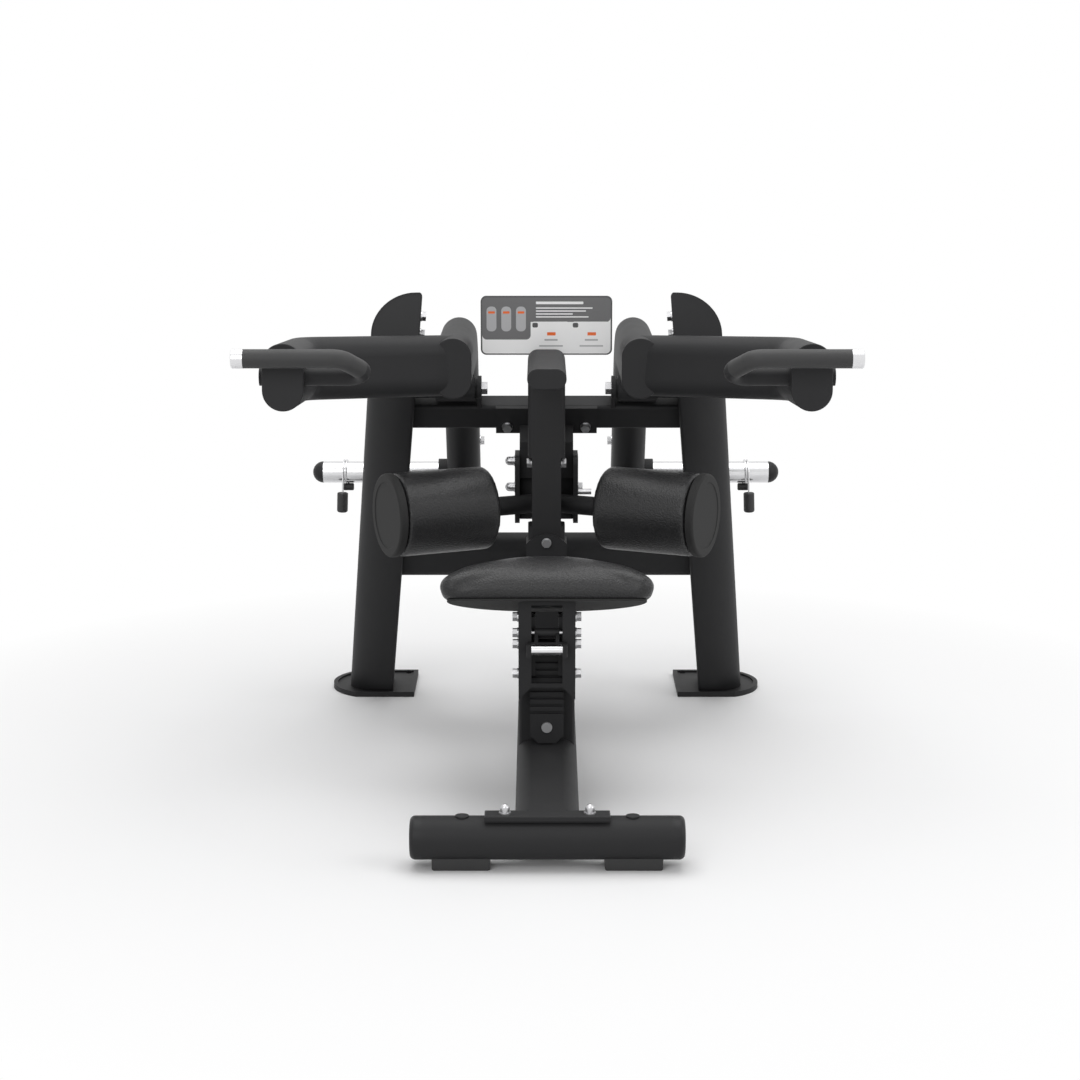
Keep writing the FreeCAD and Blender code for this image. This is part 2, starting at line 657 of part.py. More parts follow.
def mast(upper_bar_solid, centre_plate_solid, beam_solid):
    """The column, its socket, its head and the tie between the column and the crossbar's plate."""
    half = MAST_WIDTH / 2
    centre = V(0, MAST_FRONT_Y + MAST_DEPTH / 2, 0)
    low = V(0, centre.y, BEAM_FRONT_Z)
    rise = V(0, 0, HEAD_Z - low.z)
    outer = face_at(rounded(MAST_WIDTH, MAST_DEPTH, MAST_CORNER), None, low, V(1, 0, 0), V(0, 1, 0))
    notch = block(WAIST_WIDTH / 2, MAST_WIDTH, MAST_FRONT_Y - OVERRUN, MAST_BACK_Y + OVERRUN,
                  WAIST_BOTTOM_Z, WAIST_TOP_Z)
    solid = trimmed(outer.extrude(rise), *both(notch))
    bore = face_at(rounded(MAST_WIDTH - 2 * TUBE_WALL, MAST_DEPTH - 2 * TUBE_WALL,
                           MAST_CORNER - TUBE_WALL), None, low, V(1, 0, 0), V(0, 1, 0)).extrude(rise)
    kept = block(WAIST_WIDTH / 2 - TUBE_WALL, MAST_WIDTH, MAST_FRONT_Y, MAST_BACK_Y,
                 WAIST_BOTTOM_Z - TUBE_WALL, WAIST_TOP_Z + TUBE_WALL)
    bore = trimmed(bore, *both(kept))
    waist_bolt = bolt(V(WAIST_WIDTH / 2, centre.y, WAIST_TOP_Z - WAIST_BOLT_DROP), V(1, 0, 0), TUBE_WALL)
    head_from = V(0, MAST_FRONT_Y - HEAD_FRONT_REACH + CAP_T, HEAD_Z)
    head_to = V(0, MAST_BACK_Y + HEAD_BACK_REACH, HEAD_Z)
    head_outline = flat_oval(HEAD_WIDTH, HEAD_HEIGHT)
    head_solid = face_at(head_outline, None, head_from, V(1, 0, 0), V(0, 0, 1)).extrude(head_to - head_from)
    head_bore = face_at(flat_oval(HEAD_WIDTH - 2 * TUBE_WALL, HEAD_HEIGHT - 2 * TUBE_WALL), None,
                        head_from, V(1, 0, 0), V(0, 0, 1)).extrude(head_to - head_from)
    column = trimmed(solid, bore, beam_solid, head_solid)
    front_y = MAST_FRONT_Y - SOCKET_FRONT
    sleeve = block(-half - SOCKET_SIDE, half + SOCKET_SIDE, front_y, MAST_BACK_Y + SOCKET_SIDE,
                   BEAM_FRONT_Z, SOCKET_TOP_Z)
    edge_x = half + SOCKET_SIDE
    arch_r = (edge_x * edge_x + SOCKET_ARCH_RISE * SOCKET_ARCH_RISE) / (2 * SOCKET_ARCH_RISE)
    arch_from = V(0, front_y - OVERRUN, SOCKET_TOP_Z - arch_r)
    arch_to = V(0, MAST_BACK_Y + SOCKET_SIDE + OVERRUN, SOCKET_TOP_Z - arch_r)
    above = block(-edge_x - OVERRUN, edge_x + OVERRUN, arch_from.y, arch_to.y,
                  SOCKET_TOP_Z - SOCKET_ARCH_RISE, SOCKET_TOP_Z + OVERRUN)
    above = above.cut(rod(arch_from, arch_to, arch_r))
    socket_bolt = bolt(V(0, front_y, SOCKET_TOP_Z - SOCKET_BOLT_DROP), V(0, -1, 0), SOCKET_FRONT + TUBE_WALL,
                       SIDE_BOLT_R, SIDE_HEAD_FLATS, SIDE_HEAD_T, SIDE_BOLT_R * 2)
    socket = trimmed(sleeve, solid, beam_solid, socket_bolt, above)
    column = trimmed(column, socket_bolt, *both(waist_bolt))
    tie_top = UPPER_BAR.z + MAST_TIE_HEIGHT / 2
    tie = block(-MAST_TIE_WIDTH / 2, MAST_TIE_WIDTH / 2, MAST_BACK_Y, UPPER_BAR.y,
                tie_top - MAST_TIE_HEIGHT, tie_top)
    return {
        "column": column,
        "socket": socket,
        "head": head_solid.cut(head_bore).Solids[0],
        "tie": trimmed(tie, upper_bar_solid, centre_plate_solid),
        "bolts": [socket_bolt] + both(waist_bolt),
        "head_cap": end_cap(head_outline, head_from, V(0, -1, 0), V(0, 0, 1)),
        "head_back": end_cap(head_outline, head_to, V(0, 1, 0), V(0, 0, 1)),
    }


def end_cap(outline, place, outward, up):
    """A flat cap on a tube's open end, with a rounded outer edge."""
    across = up.cross(outward)
    slab = face_at(outline, None, place, across, up).extrude(outward * CAP_T)
    far = place + outward * CAP_T
    return edged(slab, CAP_T / 3, lambda e: abs((e.CenterOfMass - far).dot(outward)) < TURN_GAP)


def centre_plate():
    """The plate on the upper crossbar's front face, with its two bolts."""
    low = UPPER_BAR - UP_LEG * (UPPER_BAR_HEIGHT / 2 + CENTRE_PLATE_LAP) - OFF_LEG * (UPPER_BAR_DEPTH / 2)
    high = UPPER_BAR + UP_LEG * (UPPER_BAR_HEIGHT / 2 + CENTRE_PLATE_LAP) - OFF_LEG * (UPPER_BAR_DEPTH / 2)
    front = OFF_LEG * -CENTRE_PLATE_T
    shift = V(CENTRE_PLATE_HALF_X, 0, 0)
    plate = prism([low - shift, high - shift, high - shift + front, low - shift + front], shift * 2)
    seat = UPPER_BAR - OFF_LEG * (UPPER_BAR_DEPTH / 2 + CENTRE_PLATE_T) - UP_LEG * CENTRE_BOLT_DROP
    bolts = both(bolt(seat + V(CENTRE_BOLT_X, 0, 0), OFF_LEG * -1, CENTRE_PLATE_T + TUBE_WALL))
    return trimmed(plate, *bolts), bolts


def roller_bracket(upper_bar_solid, plate_solid, axle_solid):
    """The hanger under the upper crossbar, its two cheeks, their bolts and the pin."""
    top = HANGER_BOTTOM_Z + HANGER_HEIGHT
    back = HANGER_FRONT_Y + HANGER_DEPTH
    outline = [V(-HANGER_HALF_X, HANGER_FRONT_Y, HANGER_BOTTOM_Z), V(-HANGER_HALF_X, back, HANGER_BOTTOM_Z),
               V(-HANGER_HALF_X, back - CHEEK_T, UPPER_BAR.z), V(-HANGER_HALF_X, UPPER_BAR.y, UPPER_BAR.z),
               V(-HANGER_HALF_X, HANGER_FRONT_Y, top)]
    hanger = trimmed(prism(outline, V(2 * HANGER_HALF_X, 0, 0)), upper_bar_solid, plate_solid)
    cheek = block(HANGER_HALF_X, HANGER_HALF_X + CHEEK_T, CHEEK_FRONT_Y, CHEEK_FRONT_Y + CHEEK_DEPTH,
                  CHEEK_BOTTOM_Z, HANGER_BOTTOM_Z + CHEEK_LAP)
    cheek = edged(cheek, CHEEK_CORNER, lambda e: abs(e.tangentAt(e.FirstParameter).x) > ALONG_SHARE)
    seat_x = HANGER_HALF_X + CHEEK_T
    bolts = [bolt(V(seat_x, CHEEK_BOLT_Y, CHEEK_BOLT_LOW_Z), V(1, 0, 0), CHEEK_T)]
    nuts = [dome_nut(V(-seat_x, CHEEK_BOLT_Y, z), V(-1, 0, 0), grip, CAP_NUT_R, CAP_NUT_T)
            for z, grip in ((CHEEK_BOLT_LOW_Z, CHEEK_T), (CHEEK_BOLT_HIGH_Z, CHEEK_T + OVERRUN))]
    pin_to = V(seat_x + CHEEK_PIN_REACH, CHEEK_PIN_Y, CHEEK_PIN_Z)
    pin = rod(pin_to - V(CHEEK_PIN_REACH + CHEEK_T, 0, 0), pin_to, CHEEK_PIN_R)
    cheek_right = trimmed(cheek, axle_solid, pin, *bolts)
    cheek_left = trimmed(mirrored(cheek), axle_solid, *nuts)
    hanger = trimmed(hanger, *nuts)
    return [hanger, cheek_left, cheek_right], bolts + nuts + [pin]


def roller_heading(side):
    """Outward direction of a roller's axis, swept towards the user."""
    sweep = math.radians(ROLLER_SWEEP)
    return V(side * math.cos(sweep), -math.sin(sweep), 0)


def roller_hub_end():
    """Distance along a roller's axis from its inner end to its hub's outer end."""
    return ROLLER_LENGTH - COVER_T - COVER_GROOVE - (ROLLER_DISH - HUB_FLANGE_T - FIT_GAP)


def round_edge(along, radius, size, turn):
    """Points of a quarter-round outer edge of a lathe profile, outwards (1) or inwards (-1)."""
    steps = [math.radians(step) for step in (0, 15, 30, 45, 60, 75, 90)]
    points = [(along + turn * size * (1 - math.cos(a)), radius - size * (1 - math.sin(a))) for a in steps]
    return points if turn > 0 else points[::-1]


def roller_parts(side):
    """One thigh roller: the padded cylinder, the hub that turns on the axle and the end cover."""
    axis = roller_heading(side)
    start = AXLE_APEX + axis * ROLLER_INNER
    radius = ROLLER_D / 2
    bore = AXLE_D / 2 + TURN_GAP
    hub_r = bore + HUB_WALL
    pad_end = ROLLER_LENGTH - COVER_T - COVER_GROOVE
    dish = ROLLER_DISH
    seat = HUB_FLANGE_R + FIT_GAP
    profile = [(dish, hub_r + FIT_GAP), (dish, seat), (0, seat)]
    profile += round_edge(0, radius, ROLLER_EDGE, 1) + round_edge(pad_end, radius, COVER_EDGE, -1)
    profile += [(pad_end, seat), (pad_end - dish, seat), (pad_end - dish, hub_r + FIT_GAP)]
    pad = lathe(profile, start, axis)
    rise = dish - HUB_FLANGE_T - FIT_GAP
    hub_end = roller_hub_end()
    hub = lathe([(rise, bore), (rise, HUB_FLANGE_R), (dish - FIT_GAP, HUB_FLANGE_R), (dish - FIT_GAP, hub_r),
                 (pad_end - dish + FIT_GAP, hub_r), (pad_end - dish + FIT_GAP, HUB_FLANGE_R),
                 (hub_end, HUB_FLANGE_R), (hub_end, bore)], start, axis)
    back = pad_end + COVER_GROOVE
    room = HUB_FLANGE_R - COVER_SPIGOT
    face = ROLLER_LENGTH - COVER_FACE_STEP
    cover = [(hub_end, room), (hub_end, HUB_FLANGE_R), (back, HUB_FLANGE_R)]
    cover += round_edge(back, radius, COVER_EDGE / 3, 1) + round_edge(ROLLER_LENGTH, radius, COVER_EDGE, -1)
    cover += [(ROLLER_LENGTH, COVER_FACE_R + COVER_FACE_STEP), (face, COVER_FACE_R), (face, 0),
              (ROLLER_LENGTH - COVER_WALL - COVER_FACE_STEP, 0),
              (ROLLER_LENGTH - COVER_WALL - COVER_FACE_STEP, room)]
    return pad, [hub, lathe(cover, start, axis)]


def roller_axle():
    """The V-shaped axle behind the mast, with collars and end caps that keep the rollers in place."""
    radius = AXLE_D / 2
    arms = []
    for side in SIDES.values():
        axis = roller_heading(side)
        end = AXLE_APEX + axis * (ROLLER_INNER + roller_hub_end() + FIT_GAP)
        shoulder = AXLE_APEX + axis * (ROLLER_INNER - FIT_GAP)
        arms.append(rod(AXLE_APEX, end, radius))
        arms.append(rod(end, end + axis * AXLE_CAP_T, HUB_FLANGE_R - HUB_WALL))
        arms.append(rod(shoulder - axis * AXLE_COLLAR_T, shoulder, radius + HUB_WALL))
    return joined(arms + [Part.makeSphere(radius, AXLE_APEX)])


def pivot_mount(side, upper_bar_solid, leg_solid):
    """The plate on the upper crossbar and the axle that carry one lever."""
    inner = LEVER_X - LEVER_WIDTH / 2 - PIVOT_HOUSING_PROUD - LEVER_SIDE_GAP
    at = V(side * inner, PIVOT.y, PIVOT.z)
    inward = V(-side, 0, 0)
    eye = rod(at + inward * PIVOT_PLATE_T, at, PIVOT_PLATE_R)
    half = OFF_LEG * (UPPER_BAR_DEPTH / 2 - UPPER_BAR_CORNER / 2)
    wide = OFF_LEG * (PIVOT_PLATE_R * PIVOT_WEB_SHARE)
    root = V(side * inner, UPPER_BAR.y, UPPER_BAR.z)
    web = prism([root - half, root + half, at + wide, at - wide], inward * PIVOT_PLATE_T)
    head_seat = at + inward * PIVOT_PLATE_T
    head = hexagon(head_seat, inward, PIVOT_HEAD_FLATS, PIVOT_HEAD_T)
    far = V(side * (leg_gap(PIVOT.y, PIVOT.z) + LEG_WIDTH / 2), PIVOT.y, PIVOT.z)
    shoulder_x = LEVER_X + LEVER_WIDTH / 2 + PIVOT_HOUSING_PROUD + FIT_GAP
    shoulder = rod(V(side * shoulder_x, PIVOT.y, PIVOT.z), far, PIVOT_SHOULDER_R)
    spacer = rod(at, V(side * (inner + LEVER_SIDE_GAP - FIT_GAP), PIVOT.y, PIVOT.z), PIVOT_SHOULDER_R)
    axle = joined([rod(head_seat, far, PIVOT_AXLE_R), head, shoulder, spacer])
    axle = trimmed(axle, leg_solid)
    plate = trimmed(joined([eye, web]), upper_bar_solid, axle)
    return plate, axle


def lever_tube_bar(side, inset):
    """The lever's main tube: level over the pivot, then down parallel to the legs."""
    start = V(side * LEVER_X, LEVER_FRONT_Y + CAP_T, LEVER_Z)
    corner = V(side * LEVER_X, LEVER_CORNER.y, LEVER_Z)
    end = V(side * LEVER_X, LEVER_TAIL_END.y, LEVER_TAIL_END.z)
    outline = flat_oval(LEVER_WIDTH - 2 * inset, LEVER_HEIGHT - 2 * inset)
    face = face_at(outline, None, start, V(1, 0, 0), V(0, 0, 1))
    return bent_bar(face, [start, corner, end], [LEVER_BEND_R])


def arm_points(side):
    """The cross arm's path from the lever, round the elbow and forward to its end."""
    return [V(side * LEVER_X, ARM_ROOT_Y, LEVER_Z), V(side * ARM_ELBOW_X, ARM_ELBOW_Y, ARM_ELBOW_Z),
            V(side * ARM_ELBOW_X, ARM_END_Y, ARM_END_Z)]


def arm_bar(side, inset):
    """The cross arm's outline carried along its path."""
    path = arm_points(side)
    heading = unit(path[1] - path[0])
    up = unit(heading.cross(path[2] - path[1]))
    up = up if up.z > 0 else up * -1
    outline = flat_oval(LEVER_WIDTH - 2 * inset, LEVER_HEIGHT - 2 * inset)
    return bent_bar(face_at(outline, None, path[0], up.cross(heading) * -1, up), path, [ARM_BEND_R])


def handle_path(side):
    """The handle's path: out of the arm, round under the grip and up to the grip's end."""
    share = (ARM_ELBOW_Y - HANDLE_ENTRY_Y) / (ARM_ELBOW_Y - ARM_END_Y)
    entry_z = ARM_ELBOW_Z + (ARM_END_Z - ARM_ELBOW_Z) * share
    outer = ARM_ELBOW_X + LEVER_WIDTH / 2
    return [V(side * (outer + HANDLE_DISC_T), HANDLE_ENTRY_Y, entry_z),
            V(side * HANDLE_INNER_X, HANDLE_ENTRY_Y, entry_z),
            V(side * HANDLE_GRIP_X, HANDLE_GRIP_Y, HANDLE_GRIP_Z),
            V(side * HANDLE_END_X, HANDLE_GRIP_Y, HANDLE_GRIP_Z)]


def handle_parts(side):
    """One handle: the bent tube with its end disc, the rubber grip and the ring at its end."""
    path = handle_path(side)
    bends = [HANDLE_BEND_R, HANDLE_BEND_R]
    turn_in = path[1] + (path[2] - path[1]) * GRIP_START_SHARE
    thick = round_bar(path[:2] + [turn_in], bends[:1], HANDLE_D / 2)
    core_end = path[3] - V(side * RING_EDGE, 0, 0)
    core = round_bar(path[:3] + [core_end], bends, HANDLE_CORE_D / 2)
    disc = rod(path[0], path[0] - V(side * HANDLE_DISC_T, 0, 0), HANDLE_DISC_R)
    tube = joined([thick, core, disc])
    grip_end = path[3] - V(side * RING_WIDTH, 0, 0)
    grip = round_bar([turn_in, path[2], grip_end], bends[:1], GRIP_D / 2, HANDLE_CORE_D / 2)
    edge = RING_EDGE
    length = RING_WIDTH
    ring = lathe([(0, HANDLE_CORE_D / 2), (0, RING_D / 2), (length - edge, RING_D / 2),
                  (length, RING_D / 2 - edge), (length, 0), (length - edge, 0),
                  (length - edge, HANDLE_CORE_D / 2)], grip_end, V(side, 0, 0))
    return tube, grip, ring


def lever_parts(side):
    """One lever with its arm, caps, pivot housing, handle and weight horn."""
    name = "left" if side < 0 else "right"
    lever_solid = lever_tube_bar(side, 0)
    arm_solid = arm_bar(side, 0)
    handle, grip, ring = handle_parts(side)
    half = LEVER_WIDTH / 2 + PIVOT_HOUSING_PROUD
    housing_from = V(side * LEVER_X - half, PIVOT.y, PIVOT.z)
    housing_to = housing_from + V(2 * half, 0, 0)
    housing_solid = rod(housing_from, housing_to, PIVOT_HOUSING_R)
    housing = housing_solid.cut(rod(housing_from, housing_to, PIVOT_AXLE_R + TURN_GAP))
    bolt_at = LEVER_TAIL_END + UP_LEG * HORN_BOLT_FROM_END + V(side * (LEVER_X - LEVER_WIDTH / 2), 0, 0)
    tail_bolt = bolt(bolt_at, V(-side, 0, 0), TUBE_WALL + OVERRUN)
    tube = trimmed(lever_solid, lever_tube_bar(side, TUBE_WALL), housing_solid, tail_bolt)
    horn, collar, ball = horn_parts(side)
    outline = flat_oval(LEVER_WIDTH, LEVER_HEIGHT)
    front_cap = end_cap(outline, V(side * LEVER_X, LEVER_FRONT_Y + CAP_T, LEVER_Z), V(0, -1, 0), V(0, 0, 1))
    arm = trimmed(arm_solid, arm_bar(side, TUBE_WALL), lever_solid, front_cap, handle)
    path = arm_points(side)
    forward = unit(path[2] - path[1])
    arm_up = unit(V(1, 0, 0).cross(forward))
    arm_up = arm_up if arm_up.z > 0 else arm_up * -1
    caps = [
        front_cap,
        end_cap(outline, LEVER_TAIL_END + V(side * LEVER_X, 0, 0), UP_LEG * -1, OFF_LEG),
        end_cap(outline, path[2], forward, arm_up),
        ball,
    ]
    return {
        "lever_tube_" + name: [tube, collar],
        "cross_arm_" + name: [arm],
        "lever_caps_" + name: caps,
        "pivot_housing_" + name: [housing],
        "handle_tube_" + name: [handle],
        "grip_" + name: [grip],
        "grip_ring_" + name: [ring],
        "load_horn_" + name: [horn, tail_bolt],
    }


def horn_parts(side):
    """The bar that carries the weight plates, with its collar, and the ball at its tip."""
    start = HORN + V(side * (LEVER_X + LEVER_WIDTH / 2), 0, 0)
    out = V(side, 0, 0)
    bar = rod(start, start + out * HORN_LENGTH, HORN_D / 2)
    radius = HORN_D / 2
    collar = rod(start, start + out * HORN_COLLAR_T, HORN_COLLAR_D / 2)
    collar = collar.cut(rod(start, start + out * HORN_COLLAR_T, radius + TURN_GAP)).Solids[0]
    dome = [(HORN_BALL_T * math.sin(a), radius * math.cos(a))
            for a in (math.radians(step) for step in (0, 15, 30, 45, 60, 75, 90))]
    ball = lathe([(0, 0)] + dome, start + out * HORN_LENGTH, out)
    return bar, collar, ball


def stop_parts(side, lower_bar_solid):
    """The stub behind the lower crossbar that a lever rests on, and its rubber bumper."""
    start = LOWER_BAR + V(side * LEVER_X, 0, 0)
    length = LEVER_STANDOFF - LEVER_HEIGHT / 2 - BUMPER_T - FIT_GAP
    outline = rounded(STOP_ARM_WIDTH, STOP_ARM_HEIGHT, STOP_ARM_CORNER)
    arm = face_at(outline, None, start, V(1, 0, 0), UP_LEG).extrude(OFF_LEG * length)
    tip = start + OFF_LEG * length
    bumper = rod(tip, tip + OFF_LEG * BUMPER_T, BUMPER_R)
    bumper = edged(bumper, BUMPER_R / 6, lambda e: (e.CenterOfMass - tip).dot(OFF_LEG) > BUMPER_T / 2)
    return trimmed(arm, lower_bar_solid), bumper


def biarc(start, heading, end, onward):
    """Two tangent arcs between two points with given directions."""
    span = end - start
    both_ways = heading + onward
    a = 2 * (heading.dot(onward) - 1)
    b = -2 * span.dot(both_ways)
    c = span.dot(span)
    reach = (-b - math.sqrt(b * b - 4 * a * c)) / (2 * a)
    first = start + heading * reach
    second = end - onward * reach
    join = (first + second) * 0.5
    return [tangent_arc(start, first, join), tangent_arc(join, second, end)]


def tangent_arc(start, corner, end):
    """The arc from start to end whose tangents meet at a corner."""
    middle = (start + end) * 0.5
    half = (end - start).Length / 2
    angle = (corner - start).getAngle(end - start)
    return arc(start, middle + unit(corner - middle) * (half * math.tan(angle / 2)), end)


def clip_spring(side):
    """The clip's wire: turns wound round the horn, then a straight tail down to the handle."""
    radius = HORN_D / 2 + FIT_GAP + CLIP_WIRE_D / 2
    centre = HORN + V(side * (LEVER_X + LEVER_WIDTH / 2 + HORN_LENGTH - CLIP_FROM_TIP), 0, 0)
    rise = CLIP_PITCH / 4

    def place(step):
        angle = math.radians(90 * step)
        return centre + V(-side * rise * step, -radius * math.cos(angle), radius * math.sin(angle))

    def heading(step):
        angle = math.radians(90 * step)
        speed = radius * math.pi / 2
        return unit(V(-side * rise, speed * math.sin(angle), speed * math.cos(angle)))

    edges = []
    for step in range(CLIP_QUARTERS):
        edges += biarc(place(step), heading(step), place(step + 1), heading(step + 1))
    tail = Part.makeLine(place(0) - heading(0) * CLIP_TAIL, place(0))
    path = Part.Wire([tail] + edges)
    start = place(0) - heading(0) * CLIP_TAIL
    profile = Part.Wire(Part.makeCircle(CLIP_WIRE_D / 2, start, heading(0)))
    wire = path.makePipeShell([profile], True, False)
    print("clip self-gap", round(self_gap(edges), 2))
    return wire, start, heading(0), place(CLIP_QUARTERS)


def self_gap(edges):
    """Least distance between the surfaces of the wire's neighbouring turns."""
    points = [edge.valueAt(edge.FirstParameter + (edge.LastParameter - edge.FirstParameter) * share)
              for edge in edges for share in (0, 0.25, 0.5, 0.75)]
    half_turn = 2 * len(points) // CLIP_QUARTERS
    far = [(points[i] - points[j]).Length for i in range(len(points))
           for j in range(i + half_turn, len(points))]
    return min(far) - CLIP_WIRE_D


def clip_parts(side):
    """One spring clip: the wound wire, the handle on its tail and the knob on its other end."""
    wire, foot, upward, wire_end = clip_spring(side)
    profile = [(0, 0)] + round_edge(0, CLIP_GRIP_D / 2, CLIP_GRIP_EDGE / 2, 1)
    profile += round_edge(CLIP_GRIP_LENGTH, CLIP_GRIP_D / 2, CLIP_GRIP_EDGE, -1) + [(CLIP_GRIP_LENGTH, 0)]
    handle = lathe(profile, foot, upward * -1)
    radius = CLIP_KNOB_D / 2
    drop = HORN_D / 2 + 2 * FIT_GAP + radius
    centre = V(wire_end.x, wire_end.y - radius / 2, HORN.z - drop)
    inboard = V(-side, 0, 0)
    profile = [(0, 0)] + round_edge(0, radius, CLIP_KNOB_EDGE, 1)
    profile += round_edge(CLIP_KNOB_LENGTH, radius, CLIP_KNOB_EDGE, -1) + [(CLIP_KNOB_LENGTH, 0)]
    knob = lathe(profile, centre - inboard * (CLIP_KNOB_LENGTH / 2), inboard)
    return wire, [handle, trimmed(knob, wire)]


def seat_post(beam_solid):
    """The upright under the seat and the toothed rack on its front."""
    low = V(0, POST_FRONT_Y + POST_DEPTH / 2, BEAM_FRONT_Z)
    rise = V(0, 0, POST_TOP_Z - low.z)
    outer = face_at(rounded(POST_WIDTH, POST_DEPTH, POST_CORNER), None, low, V(1, 0, 0), V(0, 1, 0))
    inner = face_at(rounded(POST_WIDTH - 2 * TUBE_WALL, POST_DEPTH - 2 * TUBE_WALL, POST_CORNER - TUBE_WALL),
                    None, low, V(1, 0, 0), V(0, 1, 0))
    post = trimmed(outer.extrude(rise), inner.extrude(rise - V(0, 0, TUBE_WALL)), beam_solid)
    head = block(-RACK_WIDTH / 2, RACK_WIDTH / 2, RACK_FRONT_Y, RACK_FRONT_Y + RACK_T,
                 RACK_BOTTOM_Z, RACK_TOP_Z)
    neck = block(-RACK_NECK_WIDTH / 2, RACK_NECK_WIDTH / 2, RACK_FRONT_Y + RACK_T, POST_FRONT_Y,
                 RACK_BOTTOM_Z, RACK_TOP_Z)
    corner = prism([V(RACK_WIDTH / 2, RACK_FRONT_Y - OVERRUN, RACK_BOTTOM_Z),
                    V(RACK_WIDTH / 2 - RACK_CHAMFER, RACK_FRONT_Y - OVERRUN, RACK_BOTTOM_Z),
                    V(RACK_WIDTH / 2, RACK_FRONT_Y - OVERRUN, RACK_BOTTOM_Z + RACK_CHAMFER)],
                   V(0, RACK_T + 2 * OVERRUN, 0))
    grooves = [block(-RACK_WIDTH, RACK_WIDTH, RACK_FRONT_Y - OVERRUN, RACK_FRONT_Y + RACK_GROOVE_DEPTH,
                     z, z + RACK_GROOVE_HEIGHT)
               for z in (RACK_GROOVE_LOW_Z + RACK_PITCH * step for step in range(RACK_GROOVES))]
    screw_at = V(0, RACK_FRONT_Y, RACK_SCREW_Z)
    screw = joined([rod(screw_at, screw_at - V(0, RACK_SCREW_T, 0), RACK_SCREW_R),
                    rod(screw_at - V(0, RACK_SCREW_T, 0), screw_at + V(0, RACK_T, 0), BOLT_R)])
    rack = trimmed(joined([head, neck]), screw, beam_solid, *both(corner), *grooves)
    return post, rack, screw


def seat_plane_cut(below):
    """All the space above a plane that lies so far below the seat's base plate."""
    foot = SEAT_EDGE - SEAT_UP * (SEAT_BASE_T + below)
    reach = SEAT_ALONG * SEAT_DEPTH
    side = V(SEAT_HALF_X, 0, 0)
    return prism([foot - side - reach, foot + side - reach, foot + side + reach, foot - side + reach],
                 SEAT_UP * (2 * SEAT_DEPTH))


def carriage_shell():
    """The C-shaped carriage that carries the seat along the rack."""
    half = POST_WIDTH / 2
    front = CARRIAGE_FRONT_Y
    inner = half - CARRIAGE_FLANGE
    top = SEAT_EDGE_Z
    low = CARRIAGE_BOTTOM_Z
    side = block(-half, CARRIAGE_WALL - half, front, CARRIAGE_BACK_Y, low, top)
    flange = prism([V(-half, front, low), V(-inner, front, low + CARRIAGE_RISE), V(-inner, front, top),
                    V(-half, front, top)], V(0, CARRIAGE_WALL, 0))
    band = block(-inner, inner, front, front + CARRIAGE_WALL, low + CARRIAGE_RISE,
                 low + CARRIAGE_RISE + CARRIAGE_BAND)
    half_shell = joined([side, flange])
    shell = trimmed(joined(both(half_shell) + [band]), seat_plane_cut(0))
    lid = block(-half, half, front, CARRIAGE_BACK_Y, low, top).common(seat_plane_cut(CARRIAGE_TOP_T))
    return joined([shell, trimmed(lid, seat_plane_cut(0))])


def guide_block():
    """The left plastic block that grips the rack's edge, bolted inside the carriage."""
    outer = CARRIAGE_WALL - POST_WIDTH / 2
    lip_x = outer + GUIDE_BODY + GUIDE_REACH
    gap = SLIDE_GAP
    z0, z1 = GUIDE_BOTTOM_Z, GUIDE_BOTTOM_Z + GUIDE_HEIGHT
    body = block(outer, outer + GUIDE_BODY, CARRIAGE_FRONT_Y + CARRIAGE_WALL, CARRIAGE_BACK_Y, z0, z1)
    front_lip = block(outer, lip_x, RACK_FRONT_Y - gap - GUIDE_LIP, RACK_FRONT_Y - gap, z0, z1)
    back_lip = block(outer, lip_x, RACK_FRONT_Y + RACK_T + gap, CARRIAGE_BACK_Y, z0, z1)
    return joined([body, front_lip, back_lip])


def side_bolt(z):
    """A short bolt through the carriage's right side into its guide block."""
    return bolt(V(POST_WIDTH / 2, SIDE_BOLT_Y, z), V(1, 0, 0), GUIDE_BOLT_GRIP, SIDE_BOLT_R,
                SIDE_HEAD_FLATS, SIDE_HEAD_T, SIDE_BOLT_R * 2)


def release_bolt():
    """The through bolt that the release lever turns on, with its head on the left."""
    half = POST_WIDTH / 2
    right = V(half, SIDE_BOLT_Y, RELEASE_PIVOT_Z)
    head = bolt(V(-half, SIDE_BOLT_Y, RELEASE_PIVOT_Z), V(-1, 0, 0), 2 * half, SIDE_BOLT_R,
                SIDE_HEAD_FLATS, SIDE_HEAD_T, SIDE_BOLT_R * 2)
    washer = rod(right, right + V(WASHER_T, 0, 0), SIDE_BOLT_R * 2)
    nut = hexagon(right + V(WASHER_T, 0, 0), V(1, 0, 0), SIDE_HEAD_FLATS, SIDE_HEAD_T)
    return joined([head, washer, nut])


